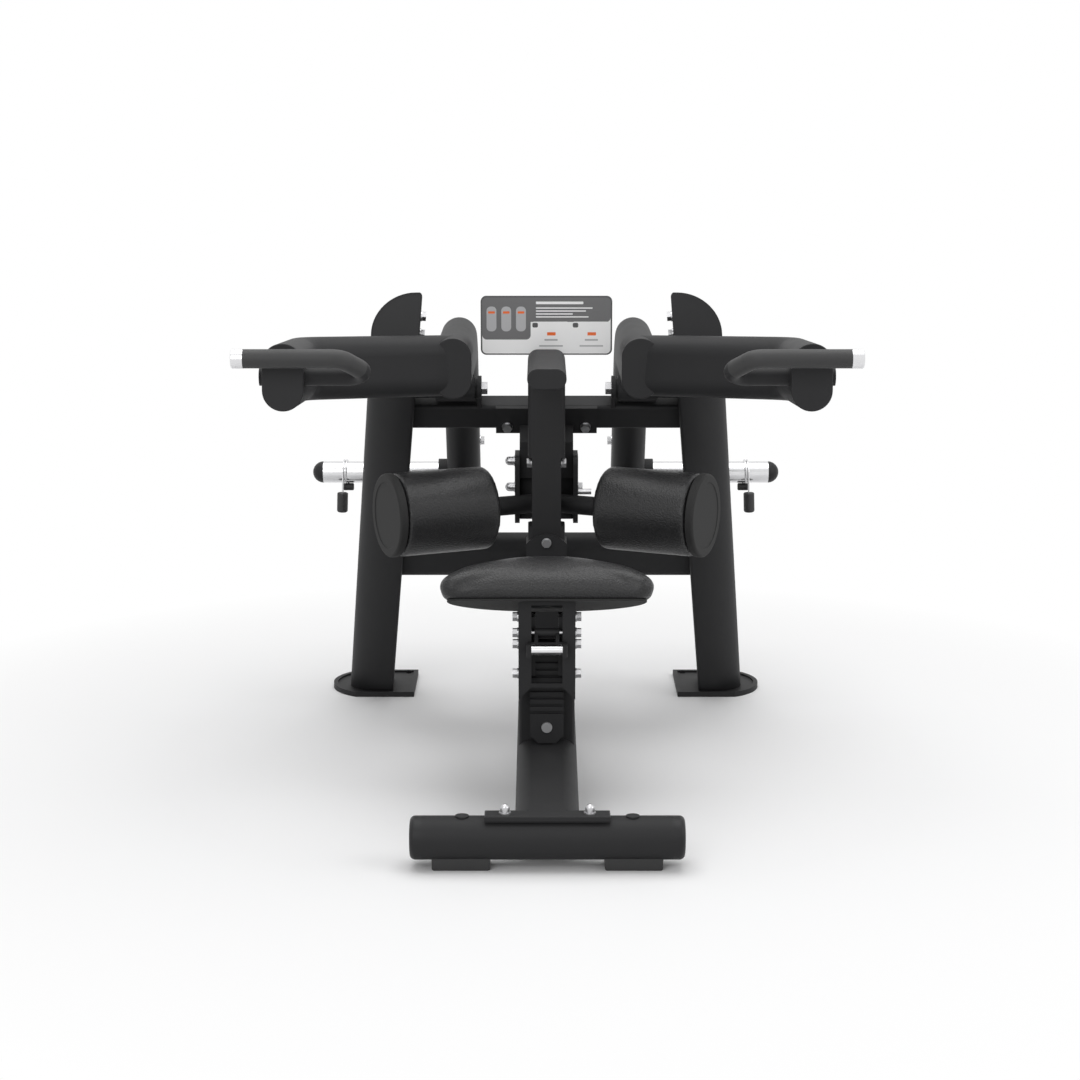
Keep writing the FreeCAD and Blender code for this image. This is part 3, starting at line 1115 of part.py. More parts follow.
def release_parts():
    """The seat's release: hub, arms, ears and pawl in one lever, and the bright bar between its ears."""
    hub_at = V(0, SIDE_BOLT_Y, RELEASE_PIVOT_Z)
    bar_y = CARRIAGE_FRONT_Y - RELEASE_BAR_FRONT
    bar_at = V(0, bar_y, RELEASE_BAR_Z)
    across = V(RELEASE_HUB_HALF_X, 0, 0)
    hub = rod(hub_at - across, hub_at + across, RELEASE_HUB_R)
    arm_x0, arm_x1 = RELEASE_HUB_HALF_X - RELEASE_ARM_T, RELEASE_HUB_HALF_X
    half = RELEASE_BAR_D / 2 + RELEASE_EAR_EDGE / 2
    back = bar_y + half
    yoke_y = back - RELEASE_ARM_T
    arm = prism([V(arm_x0, hub_at.y, hub_at.z + RELEASE_HUB_R), V(arm_x0, hub_at.y, hub_at.z - RELEASE_HUB_R),
                 V(arm_x0, yoke_y, bar_at.z - half), V(arm_x0, yoke_y, bar_at.z + half)],
                V(RELEASE_ARM_T, 0, 0))
    ear_out = RELEASE_BAR_HALF_X + RELEASE_EAR_T
    ear = block(RELEASE_BAR_HALF_X, ear_out, bar_y - half, back, bar_at.z - half, bar_at.z + half)
    ear = edged(ear, RELEASE_EAR_EDGE, lambda e: e.CenterOfMass.x > ear_out - RELEASE_EAR_EDGE)
    yoke = block(-RELEASE_BAR_HALF_X, RELEASE_BAR_HALF_X, yoke_y, back, bar_at.z - half, bar_at.z + half)
    pawl_y = RACK_FRONT_Y - SLIDE_GAP
    pawl = block(-arm_x0, arm_x0, hub_at.y, pawl_y, hub_at.z - RELEASE_HUB_R - RELEASE_PAWL_T, hub_at.z)
    ends = V(RELEASE_BAR_HALF_X, 0, 0)
    bar = rod(bar_at - ends, bar_at + ends, RELEASE_BAR_D / 2)
    bore = rod(hub_at - across * 2, hub_at + across * 2, SIDE_BOLT_R + TURN_GAP)
    room = rod(bar_at - ends, bar_at + ends, RELEASE_BAR_D / 2 + TURN_GAP)
    lever = trimmed(joined([hub, yoke, pawl] + both(arm) + both(ear)), bore, room)
    return lever, bar


def seat_outline(inset_share, level):
    """The seat's D-shaped outline at a level, drawn in by a share of its half width and half depth."""
    half = SEAT_HALF_X * (1 - inset_share)
    near = SEAT_DEPTH / 2 * inset_share
    far = SEAT_DEPTH - near
    corner = min(SEAT_CORNER, half / 2, (far - near) / 3)
    turn = corner * (1 - math.sqrt(0.5))
    depth = far - near - corner

    def at(x, along):
        return SEAT_EDGE + V(x, 0, 0) + SEAT_ALONG * along + SEAT_UP * level

    def bow(step):
        angle = math.radians(step)
        return at(half * math.cos(angle), near + corner + depth * math.sin(angle))

    edges = [line(at(corner - half, near), at(half - corner, near)),
             arc(at(half - corner, near), at(half - turn, near + turn), at(half, near + corner))]
    for step in (0, 45, 90, 135):
        edges.append(arc(bow(step), bow(step + 22.5), bow(step + 45)))
    edges.append(arc(at(-half, near + corner), at(turn - half, near + turn), at(corner - half, near)))
    return loop(edges)


def seat_parts():
    """The crowned seat pad with drawn-in sides, and the plate under it."""
    sections = [seat_outline(inset, FIT_GAP + SEAT_T * level)
                for inset, level in zip(SEAT_INSET_SHARES, SEAT_LEVEL_SHARES)]
    pad = Part.makeLoft(sections, True, False)
    base = Part.Face(seat_outline(SEAT_BASE_INSET / SEAT_HALF_X, 0)).extrude(SEAT_UP * -SEAT_BASE_T)
    return pad, base


def placard_parts():
    """The instruction placard, left bare, and the strap that holds it behind the mast's head."""
    back = MAST_BACK_Y + HEAD_BACK_REACH + CAP_T
    face_y = MAST_BACK_Y + HEAD_BACK_REACH + PLACARD_SETBACK
    centre = V(0, face_y, PLACARD_BOTTOM_Z + PLACARD_HEIGHT / 2)
    outline = rounded(2 * PLACARD_HALF_X, PLACARD_HEIGHT, PLACARD_CORNER)
    board = face_at(outline, None, centre, V(1, 0, 0), V(0, 0, 1)).extrude(V(0, PLACARD_T, 0))
    board = board if board.BoundBox.YMax > face_y else board.translated(V(0, PLACARD_T, 0))
    low = HEAD_Z - STRAP_FOOT_T / 2
    behind = face_y + PLACARD_T
    foot = block(-STRAP_HALF_X, STRAP_HALF_X, back, behind + STRAP_T, low, HEAD_Z + TURN_GAP)
    upright = block(-STRAP_HALF_X, STRAP_HALF_X, behind, behind + STRAP_T, low, PLACARD_BOTTOM_Z + STRAP_RISE)
    return board, trimmed(joined([foot, upright]), board)


def leg_bolts(side):
    """The two bright bolts on a leg's inner face near its top."""
    bolts = []
    rise = LEG_BACK_LENGTH - LEG_FRONT_LENGTH
    off = LEG_DEPTH - LEG_BOLT_INSET
    top = LEG_FRONT_LENGTH + (rise * off - LEG_BOLT_EDGE * math.hypot(rise, LEG_DEPTH)) / LEG_DEPTH
    for step in range(2):
        seat = LEG_FOOT + UP_LEG * (top - LEG_BOLT_PITCH * step) + OFF_LEG * off
        seat = seat + V(side * leg_gap(seat.y, seat.z), 0, 0)
        outward = unit(UP_LEG * LEG_SPLAY + V(side, 0, 0)) * -1
        bolts.append(bolt(seat, outward, BOLT_GRIP))
    return bolts


def frame_parts():
    """Every piece of the standing frame, by node name."""
    nodes = front_foot()
    reach = V(FOOT_LENGTH / 2, 0, 0)
    foot_solid = rod(FOOT_AXIS - reach, FOOT_AXIS + reach, FOOT_D / 2)
    saddle_z = FOOT_AXIS.z + FOOT_D / 2
    saddle = saddle_block(saddle_z - SADDLE_RIB, saddle_z + SADDLE_T)
    leg_solids = {side: leg_bar(side, 0) for side in SIDES.values()}
    upper = crossbar(UPPER_BAR, UPPER_BAR_HEIGHT, UPPER_BAR_DEPTH, UPPER_BAR_CORNER, 0)
    upper_bore = crossbar(UPPER_BAR, UPPER_BAR_HEIGHT, UPPER_BAR_DEPTH, UPPER_BAR_CORNER, TUBE_WALL)
    lower = crossbar(LOWER_BAR, LOWER_BAR_HEIGHT, LOWER_BAR_DEPTH, LOWER_BAR_DEPTH / 2, 0)
    lower_bore = crossbar(LOWER_BAR, LOWER_BAR_HEIGHT, LOWER_BAR_DEPTH, LOWER_BAR_DEPTH / 2, TUBE_WALL)
    beam_solid = beam_bar(0)
    plate, plate_bolts = centre_plate()
    axle = roller_axle()
    bracket, bracket_bolts = roller_bracket(upper, plate, axle)
    mast_set = mast(upper, plate, beam_solid)
    post, rack, screw = seat_post(beam_solid)
    board, strap = placard_parts()
    hex_bolts = plate_bolts + mast_set["bolts"] + [screw]
    pivot_plates, pivot_axles, stops, bumpers = [], [], [], []
    for name, side in SIDES.items():
        bolts = leg_bolts(side)
        hex_bolts += bolts
        nodes["leg_" + name] = [trimmed(leg_solids[side], leg_bar(side, TUBE_WALL), *bolts)]
        nodes["foot_plate_" + name] = [foot_plate(side)]
        pivot_plate, pivot_axle = pivot_mount(side, upper, leg_solids[side])
        stop, bumper = stop_parts(side, lower)
        pivot_plates.append(pivot_plate)
        pivot_axles.append(pivot_axle)
        stops.append(stop)
        bumpers.append(bumper)
    legs = list(leg_solids.values())
    nodes["base_beam"] = [trimmed(beam_solid.cut(beam_bar(TUBE_WALL)), foot_solid, saddle, lower)]
    nodes["upper_crossbar"] = [trimmed(upper, upper_bore, *legs, *plate_bolts), mast_set["tie"]]
    nodes["lower_crossbar"] = [trimmed(lower, lower_bore, *legs)]
    nodes["crossbar_plate"] = [plate]
    nodes["mast_column"] = [mast_set["column"]]
    nodes["mast_socket"] = [mast_set["socket"]]
    nodes["mast_head"] = [mast_set["head"]]
    nodes["frame_end_caps"] = [mast_set["head_cap"], mast_set["head_back"]]
    nodes["frame_end_caps"] += [trimmed(leg_cap(side), *leg_bolts(side)) for side in SIDES.values()]
    nodes["roller_bracket"] = bracket
    nodes["roller_bracket_bolts"] = bracket_bolts
    nodes["roller_axle"] = [axle]
    nodes["seat_post"] = [post]
    nodes["seat_rack"] = [rack]
    nodes["placard"] = [board]
    nodes["placard_bracket"] = [strap]
    nodes["pivot_brackets"] = pivot_plates
    nodes["pivot_axles"] = pivot_axles
    nodes["stop_arms"] = stops
    nodes["stop_bumpers"] = bumpers
    nodes["frame_hex_bolts"] = hex_bolts
    return nodes


def moving_parts():
    """Every piece of the levers, clips, rollers and seat, by node name."""
    nodes = {}
    for name, side in SIDES.items():
        nodes.update(lever_parts(side))
        wire, handle = clip_parts(side)
        nodes["clip_spring_" + name] = [wire]
        nodes["clip_handle_" + name] = handle
        pad, hub = roller_parts(side)
        nodes["roller_pad_" + name] = [pad]
        nodes["roller_hub_" + name] = hub
    bolts = [release_bolt()]
    for z in SIDE_BOLT_HEADS_Z:
        bolts += both(side_bolt(z))
    pad, base = seat_parts()
    lever, bar = release_parts()
    nodes["seat_carriage"] = [trimmed(carriage_shell(), *bolts)]
    nodes["seat_guide_blocks"] = both(trimmed(guide_block(), *bolts))
    nodes["seat_carriage_bolts"] = bolts
    nodes["seat_pad"] = [pad]
    nodes["seat_base"] = [base]
    nodes["release_lever"] = [lever]
    nodes["release_bar"] = [bar]
    return nodes


def write_nodes(nodes):
    """Centre the machine along Y and write each node to its own file."""
    os.makedirs("parts", exist_ok=True)
    whole = Part.makeCompound([solid for solids in nodes.values() for solid in solids])
    whole = whole.optimalBoundingBox(False, False)
    middle = (whole.YMin + whole.YMax) / 2
    print("nodes", len(nodes), "middle of the length", round(middle, 3), "size",
          [round(size, 1) for size in (whole.XLength, whole.YLength, whole.ZLength)])
    print("pivot", round(PIVOT.y - middle, 3), round(PIVOT.z, 3), "apex", round(AXLE_APEX.y - middle, 3),
          "horn", round(HORN.y - middle, 3), round(HORN.z, 3),
          "anchors", [round(y - middle, 3) for x, y in anchor_places()],
          "anchor x", round(anchor_places()[0][0], 3), "side bolt", round(SIDE_BOLT_Y - middle, 3))
    for name, solids in nodes.items():
        shape = Part.makeCompound([solid.translated(V(0, -middle, 0)) for solid in solids])
        shape = shape if len(solids) > 1 else shape.Solids[0]
        shape.exportStep("parts/" + name + ".step")


if __name__ == "__main__":
    write_nodes({**frame_parts(), **moving_parts()})
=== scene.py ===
"""The looks of a plate-loaded seated dip machine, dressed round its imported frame."""
from __future__ import annotations

import json
import logging
import math
from dataclasses import dataclass, field, replace
from enum import Enum
from functools import partial
from typing import Callable, Union

import bpy
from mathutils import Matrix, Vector


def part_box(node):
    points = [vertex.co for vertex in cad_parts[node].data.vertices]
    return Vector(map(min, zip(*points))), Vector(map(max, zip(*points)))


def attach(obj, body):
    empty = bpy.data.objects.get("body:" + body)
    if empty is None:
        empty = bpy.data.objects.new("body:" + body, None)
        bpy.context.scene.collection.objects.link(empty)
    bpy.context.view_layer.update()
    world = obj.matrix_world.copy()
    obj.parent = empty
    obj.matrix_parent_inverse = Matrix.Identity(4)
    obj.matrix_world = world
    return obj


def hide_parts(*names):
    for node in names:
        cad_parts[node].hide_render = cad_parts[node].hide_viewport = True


LOG = logging.getLogger("dip_machine")
MILLIMETRE = 0.001
WHITE = (1.0, 1.0, 1.0, 1.0)

Colour = tuple[float, float, float]
Place = tuple[float, float, float]
Number = Union[float, "Field"]


class Slot(Enum):
    """The record's material slots."""

    PAINT = "frame_paint"
    CAP = "end_cap_plastic"
    RUBBER = "pad_rubber"
    UPHOLSTERY = "upholstery"
    STEEL = "bright_steel"
    CHROME = "horn_chrome"
    PRINT = "placard_print"


class Side(Enum):
    """The two sides of the machine."""

    LEFT = "left"
    RIGHT = "right"


class Pattern(Enum):
    """The texture nodes that give noise and cells."""

    NOISE = "ShaderNodeTexNoise"
    CELLS = "ShaderNodeTexVoronoi"


class CellShape(Enum):
    """How a cell pattern rises between its points."""

    SHARP = "F1"
    SMOOTH = "SMOOTH_F1"


class Maths(Enum):
    """What a Math node does."""

    ADD = "ADD"
    SUBTRACT = "SUBTRACT"
    MULTIPLY = "MULTIPLY"
    LESS = "LESS_THAN"
    SIZE = "ABSOLUTE"
    SMALLER = "MINIMUM"
    LARGER = "MAXIMUM"
    ROOT = "SQRT"


@dataclass(frozen=True)
class Cloud:
    """A noise: its features to a metre, its layers of detail and how strong the fine ones are."""

    scale: float
    detail: float = 3.0
    rough: float = 0.55


@dataclass(frozen=True)
class Field:
    """A number that changes over a surface, with the operators that add Math nodes."""

    bench: "NodeBench"
    socket: bpy.types.NodeSocket

    def __add__(self, other: Number) -> "Field":
        """The sum of two numbers."""
        return self.bench.math(Maths.ADD, self, other)

    def __radd__(self, other: float) -> "Field":
        """The sum with a plain number in front."""
        return self.bench.math(Maths.ADD, other, self)

    def __sub__(self, other: Number) -> "Field":
        """This number less another."""
        return self.bench.math(Maths.SUBTRACT, self, other)

    def __rsub__(self, other: float) -> "Field":
        """A plain number less this one."""
        return self.bench.math(Maths.SUBTRACT, other, self)

    def __mul__(self, other: Number) -> "Field":
        """The product of two numbers."""
        return self.bench.math(Maths.MULTIPLY, self, other)

    def __lt__(self, other: Number) -> "Field":
        """One where this number is the smaller, else zero."""
        return self.bench.math(Maths.LESS, self, other)

    def __abs__(self) -> "Field":
        """The number without its sign."""
        return self.bench.math(Maths.SIZE, self)

    def at_least(self, other: Number) -> "Field":
        """The larger of two numbers."""
        return self.bench.math(Maths.LARGER, self, other)

    def root(self) -> "Field":
        """The square root."""
        return self.bench.math(Maths.ROOT, self)

    def clipped(self) -> "Field":
        """The number held between zero and one."""
        return self.bench.math(Maths.SMALLER, self.at_least(0.0), 1.0)


Paint = Union[Colour, bpy.types.NodeSocket]


class NodeBench:
    """A node tree with helpers that add nodes to it."""

    def __init__(self, tree: bpy.types.NodeTree) -> None:
        """Empty the tree."""
        self.tree = tree
        self.tree.nodes.clear()

    def node(self, kind: str, settings: dict | None = None, inputs: dict | None = None) -> bpy.types.Node:
        """Add a node.

        Args:
            kind: The node's type.
            settings: Its own settings, set before its sockets.
            inputs: Values or links by socket name or number.

        Returns:
            The new node.
        """
        node = self.tree.nodes.new(kind)
        for key, value in (settings or {}).items():
            setattr(node, key, value)
        for key, value in (inputs or {}).items():
            self.feed(node.inputs[key], value)
        return node

    def feed(self, socket: bpy.types.NodeSocket, value: object) -> None:
        """Link a value to a socket, or set it there when it is plain.

        Args:
            socket: The input to fill.
            value: A Field, an output socket, a number or a colour.
        """
        if isinstance(value, Field):
            self.tree.links.new(value.socket, socket)
        elif isinstance(value, bpy.types.NodeSocket):
            self.tree.links.new(value, socket)
        else:
            socket.default_value = value

    def math(self, operation: Maths, *values: Number) -> Field:
        """A Math node on one or two values."""
        node = self.node("ShaderNodeMath", {"operation": operation.value}, dict(enumerate(values)))
        return Field(self, node.outputs[0])

    def seen(self) -> Field:
        """Tell the rays that show a background from those that light the object.

        Returns:
            One for rays from the camera, a reflection or glass, else zero.
        """
        path = self.node("ShaderNodeLightPath")
        rays = [Field(self, path.outputs[name])
                for name in ("Is Camera Ray", "Is Glossy Ray", "Is Transmission Ray")]
        return rays[0].at_least(rays[1]).at_least(rays[2])


class ShaderBench(NodeBench):
    """One material with its node tree, a Principled shader and helpers for its looks."""

    def __init__(self, name: str) -> None:
        """Start an empty material.

        Args:
            name: The material's name.
        """
        self.material = bpy.data.materials.new(name)
        self.material.use_nodes = True
        super().__init__(self.material.node_tree)
        self.shader = self.node("ShaderNodeBsdfPrincipled")
        self.output = self.node("ShaderNodeOutputMaterial", inputs={"Surface": self.shader.outputs["BSDF"]})
        self.place = self.node("ShaderNodeTexCoord").outputs["Object"]

    def axis(self, letter: str) -> Field:
        """The surface point's own X, Y or Z in metres."""
        node = self.node("ShaderNodeSeparateXYZ", inputs={0: self.place})
        return Field(self, node.outputs[letter])

    def facing_up(self) -> Field:
        """Read how far the surface faces up.

        Returns:
            One on a level top, zero on an upright face and minus one below.
        """
        geometry = self.node("ShaderNodeNewGeometry")
        node = self.node("ShaderNodeSeparateXYZ", inputs={0: geometry.outputs["Normal"]})
        return Field(self, node.outputs["Z"])

    def noise(self, cloud: Cloud) -> Field:
        """Cloudy noise from about zero to one."""
        node = self.node(Pattern.NOISE.value, inputs={
            "Vector": self.place, "Scale": cloud.scale, "Detail": cloud.detail, "Roughness": cloud.rough})
        return Field(self, node.outputs["Fac"])

    def cells(self, scale: float, shape: CellShape) -> Field:
        """Distance to the nearest point of a random cell pattern."""
        inputs = {"Vector": self.place, "Scale": scale}
        node = self.node(Pattern.CELLS.value, {"feature": shape.value}, inputs)
        return Field(self, node.outputs["Distance"])

    def blend(self, mask: Field, low: Paint, high: Paint) -> bpy.types.NodeSocket:
        """Run from one colour to another as a mask goes from zero to one.

        Args:
            mask: The mask.
            low: The colour where the mask is zero.
            high: The colour where the mask is one.

        Returns:
            The socket of the mixed colour.
        """
        node = self.node("ShaderNodeMix", {"data_type": "RGBA"})
        self.feed(node.inputs[0], mask)
        self.feed(node.inputs[6], self.opaque(low))
        self.feed(node.inputs[7], self.opaque(high))
        return node.outputs[2]

    @staticmethod
    def opaque(value: Paint) -> object:
        """A plain colour with full alpha, or a linked colour as it is."""
        return value if isinstance(value, bpy.types.NodeSocket) else (*value, 1.0)

    def colour(self, value: Paint) -> None:
        """Set the base colour."""
        self.feed(self.shader.inputs["Base Color"], self.opaque(value))

    def rough(self, value: Number) -> None:
        """Set the roughness."""
        self.feed(self.shader.inputs["Roughness"], value)

    def relief(self, height: Field, depth: float, strength: float = 1.0) -> None:
        """Raise and sink the surface by a height between zero and one.

        Args:
            height: The height field.
            depth: The depth in metres that one stands for.
            strength: How much of the bump is kept.
        """
        node = self.node("ShaderNodeBump", inputs={
            "Height": height, "Distance": depth, "Strength": strength})
        self.feed(self.shader.inputs["Normal"], node.outputs["Normal"])

    def constant(self, **values: float) -> None:
        """Set plain values on the shader's own sockets; underscores stand for spaces."""
        for key, value in values.items():
            self.shader.inputs[key.replace("_", " ")].default_value = value


@dataclass(frozen=True)
class PowderCoat:
    """Fine-textured matte black powder coat on welded tube, with a trace of dust on its tops."""

    dark: Colour = (0.015, 0.015, 0.016)
    pale: Colour = (0.021, 0.021, 0.022)
    dust: Colour = (0.028, 0.028, 0.028)
    cloud: Cloud = Cloud(9.0, detail=4.0)
    settling: Cloud = Cloud(40.0, detail=5.0, rough=0.7)
    grain: Cloud = Cloud(1400.0, detail=2.0, rough=0.6)
    grain_depth: float = 0.00008
    grain_strength: float = 0.55
    base_rough: float = 0.50
    cloud_rough: float = 0.10
    dust_rough: float = 0.2
    dust_from: float = 0.55
    dust_cover: float = 0.9
    ior: float = 1.45
    specular: float = 0.26

    def build(self) -> bpy.types.Material:
        """Make the material.

        Returns:
            The new material.
        """
        bench = ShaderBench("powder_coat")
        cloud = bench.noise(self.cloud)
        settled = (bench.facing_up() - self.dust_from).clipped() * bench.noise(self.settling)
        coat = bench.blend(cloud, self.dark, self.pale)
        bench.colour(bench.blend((settled * self.dust_cover).clipped(), coat, self.dust))
        bench.rough((self.base_rough + cloud * self.cloud_rough + settled * self.dust_rough).clipped())
        bench.relief(bench.noise(self.grain), self.grain_depth, self.grain_strength)
        bench.constant(IOR=self.ior, Specular_IOR_Level=self.specular)
        return bench.material


@dataclass(frozen=True)
class MouldedPlastic:
    """Satin black moulded plastic of the end caps, the guides and the placard's back."""

    dark: Colour = (0.012, 0.012, 0.013)
    pale: Colour = (0.018, 0.018, 0.019)
    cloud: Cloud = Cloud(16.0, detail=4.0)
    spark_scale: float = 900.0
    spark_depth: float = 0.00006
    spark_strength: float = 0.5
    base_rough: float = 0.40
    cloud_rough: float = 0.12
    ior: float = 1.46
    specular: float = 0.28

    def build(self) -> bpy.types.Material:
        """Make the material.

        Returns:
            The new material.
        """
        bench = ShaderBench("moulded_plastic")
        cloud = bench.noise(self.cloud)
        bench.colour(bench.blend(cloud, self.dark, self.pale))
        bench.rough(self.base_rough + cloud * self.cloud_rough)
        sparks = bench.cells(self.spark_scale, CellShape.SHARP)
        bench.relief(sparks, self.spark_depth, self.spark_strength)
        bench.constant(IOR=self.ior, Specular_IOR_Level=self.specular)
        return bench.material


@dataclass(frozen=True)
class GripRubber:
    """Dull black rubber of the grips, pads, bumpers and clip handles."""

    dark: Colour = (0.018, 0.018, 0.019)
    pale: Colour = (0.030, 0.030, 0.030)
    cloud: Cloud = Cloud(22.0, detail=5.0)
    pores: Cloud = Cloud(1100.0, detail=2.0)
    pore_depth: float = 0.00009
    pore_strength: float = 0.5
    base_rough: float = 0.52
    cloud_rough: float = 0.16

    def build(self) -> bpy.types.Material:
        """Make the material.

        Returns:
            The new material.
        """
        bench = ShaderBench("grip_rubber")
        cloud = bench.noise(self.cloud)
        bench.colour(bench.blend(cloud, self.dark, self.pale))
        bench.rough((self.base_rough + cloud * self.cloud_rough).clipped())
        bench.relief(bench.noise(self.pores), self.pore_depth, self.pore_strength)
        return bench.material


@dataclass(frozen=True)
class GrainedLeather:
    """Black synthetic leather with a pebbled grain and soft creases, its colour lighter on the raised pebbles as a
    painted highlight and darker between them as painted shade.
    """

    dark: Colour = (0.007, 0.007, 0.0075)
    pale: Colour = (0.018, 0.018, 0.019)
    cloud: Cloud = Cloud(12.0, detail=5.0)
    creases: Cloud = Cloud(120.0, detail=4.0, rough=0.6)
    pores: Cloud = Cloud(1200.0, detail=2.0)
    pebble_scale: float = 330.0
    cloud_tone: float = 0.4
    # How much of the colour is painted highlight on the raised pebbles and painted shade in the valleys between
    # them.
    pebble_glint_and_shade: float = 0.6
    base_rough: float = 0.24
    pebble_rough: float = 0.28
    cloud_rough: float = 0.05
    pebble_height: float = 0.6
    crease_height: float = 0.25
    pore_height: float = 0.15
    relief_depth: float = 0.0020
    coat: float = 0.15
    coat_rough: float = 0.24
    specular: float = 0.32

    def build(self) -> bpy.types.Material:
        """Make the material.

        Returns:
            The new material.
        """
        bench = ShaderBench("grained_leather")
        cloud = bench.noise(self.cloud)
        pebble = bench.cells(self.pebble_scale, CellShape.SMOOTH)
        # The cloud part is the leather's own uneven tone; the pebble part paints a highlight on the raised pebbles
        # and shade in the valleys between them.
        grain_tone_and_glint = cloud * self.cloud_tone + (1.0 - pebble) * self.pebble_glint_and_shade
        bench.colour(bench.blend(grain_tone_and_glint.clipped(), self.dark, self.pale))
        bench.rough((self.base_rough + pebble * self.pebble_rough + cloud * self.cloud_rough).clipped())
        height = (1.0 - pebble) * self.pebble_height + bench.noise(self.creases) * self.crease_height
        bench.relief(height + bench.noise(self.pores) * self.pore_height, self.relief_depth)
        bench.constant(Coat_Weight=self.coat, Coat_Roughness=self.coat_rough,
                       Specular_IOR_Level=self.specular)
        return bench.material


@dataclass(frozen=True)
class DarkBoard:
    """The dull near-black board under the seat cushion and at the rollers' ends."""

    dark: Colour = (0.0035, 0.0035, 0.0036)
    pale: Colour = (0.0060, 0.0060, 0.0061)
    weave: Cloud = Cloud(700.0)
    weave_depth: float = 0.00012
    weave_strength: float = 0.6
    base_rough: float = 0.72
    weave_rough: float = 0.12

    def build(self) -> bpy.types.Material:
        """Make the material.

        Returns:
            The new material.
        """
        bench = ShaderBench("dark_board")
        weave = bench.noise(self.weave)
        bench.colour(bench.blend(weave, self.dark, self.pale))
        bench.rough(self.base_rough + weave * self.weave_rough)
        bench.relief(weave, self.weave_depth, self.weave_strength)
        return bench.material


@dataclass(frozen=True)
class BrightMetal:
    """Plated metal with faint smudges."""

    name: str
    tint: Colour
    worn: Colour
    base_rough: float
    smudge: float
    cloud: Cloud = Cloud(35.0, detail=5.0, rough=0.65)
    polish: Cloud = Cloud(2200.0, detail=2.0)
    polish_depth: float = 0.00002
    polish_strength: float = 0.3

    def build(self) -> bpy.types.Material:
        """Make the material.

        Returns:
            The new material.
        """
        bench = ShaderBench(self.name)
        cloud = bench.noise(self.cloud)
        bench.colour(bench.blend(cloud, self.tint, self.worn))
        bench.rough((self.base_rough + cloud * self.smudge).clipped())
        bench.relief(bench.noise(self.polish), self.polish_depth, self.polish_strength)
        bench.constant(Metallic=1.0)
        return bench.material


@dataclass(frozen=True)
class Patch:
    """A rounded box on the placard: its edges in shares of the sheet, its corner in metres."""

    left: float
    right: float
    low: float
    high: float
    corner: float

    def moved(self, across: float) -> "Patch":
        """The same patch further to the right."""
        return replace(self, left=self.left + across, right=self.right + across)


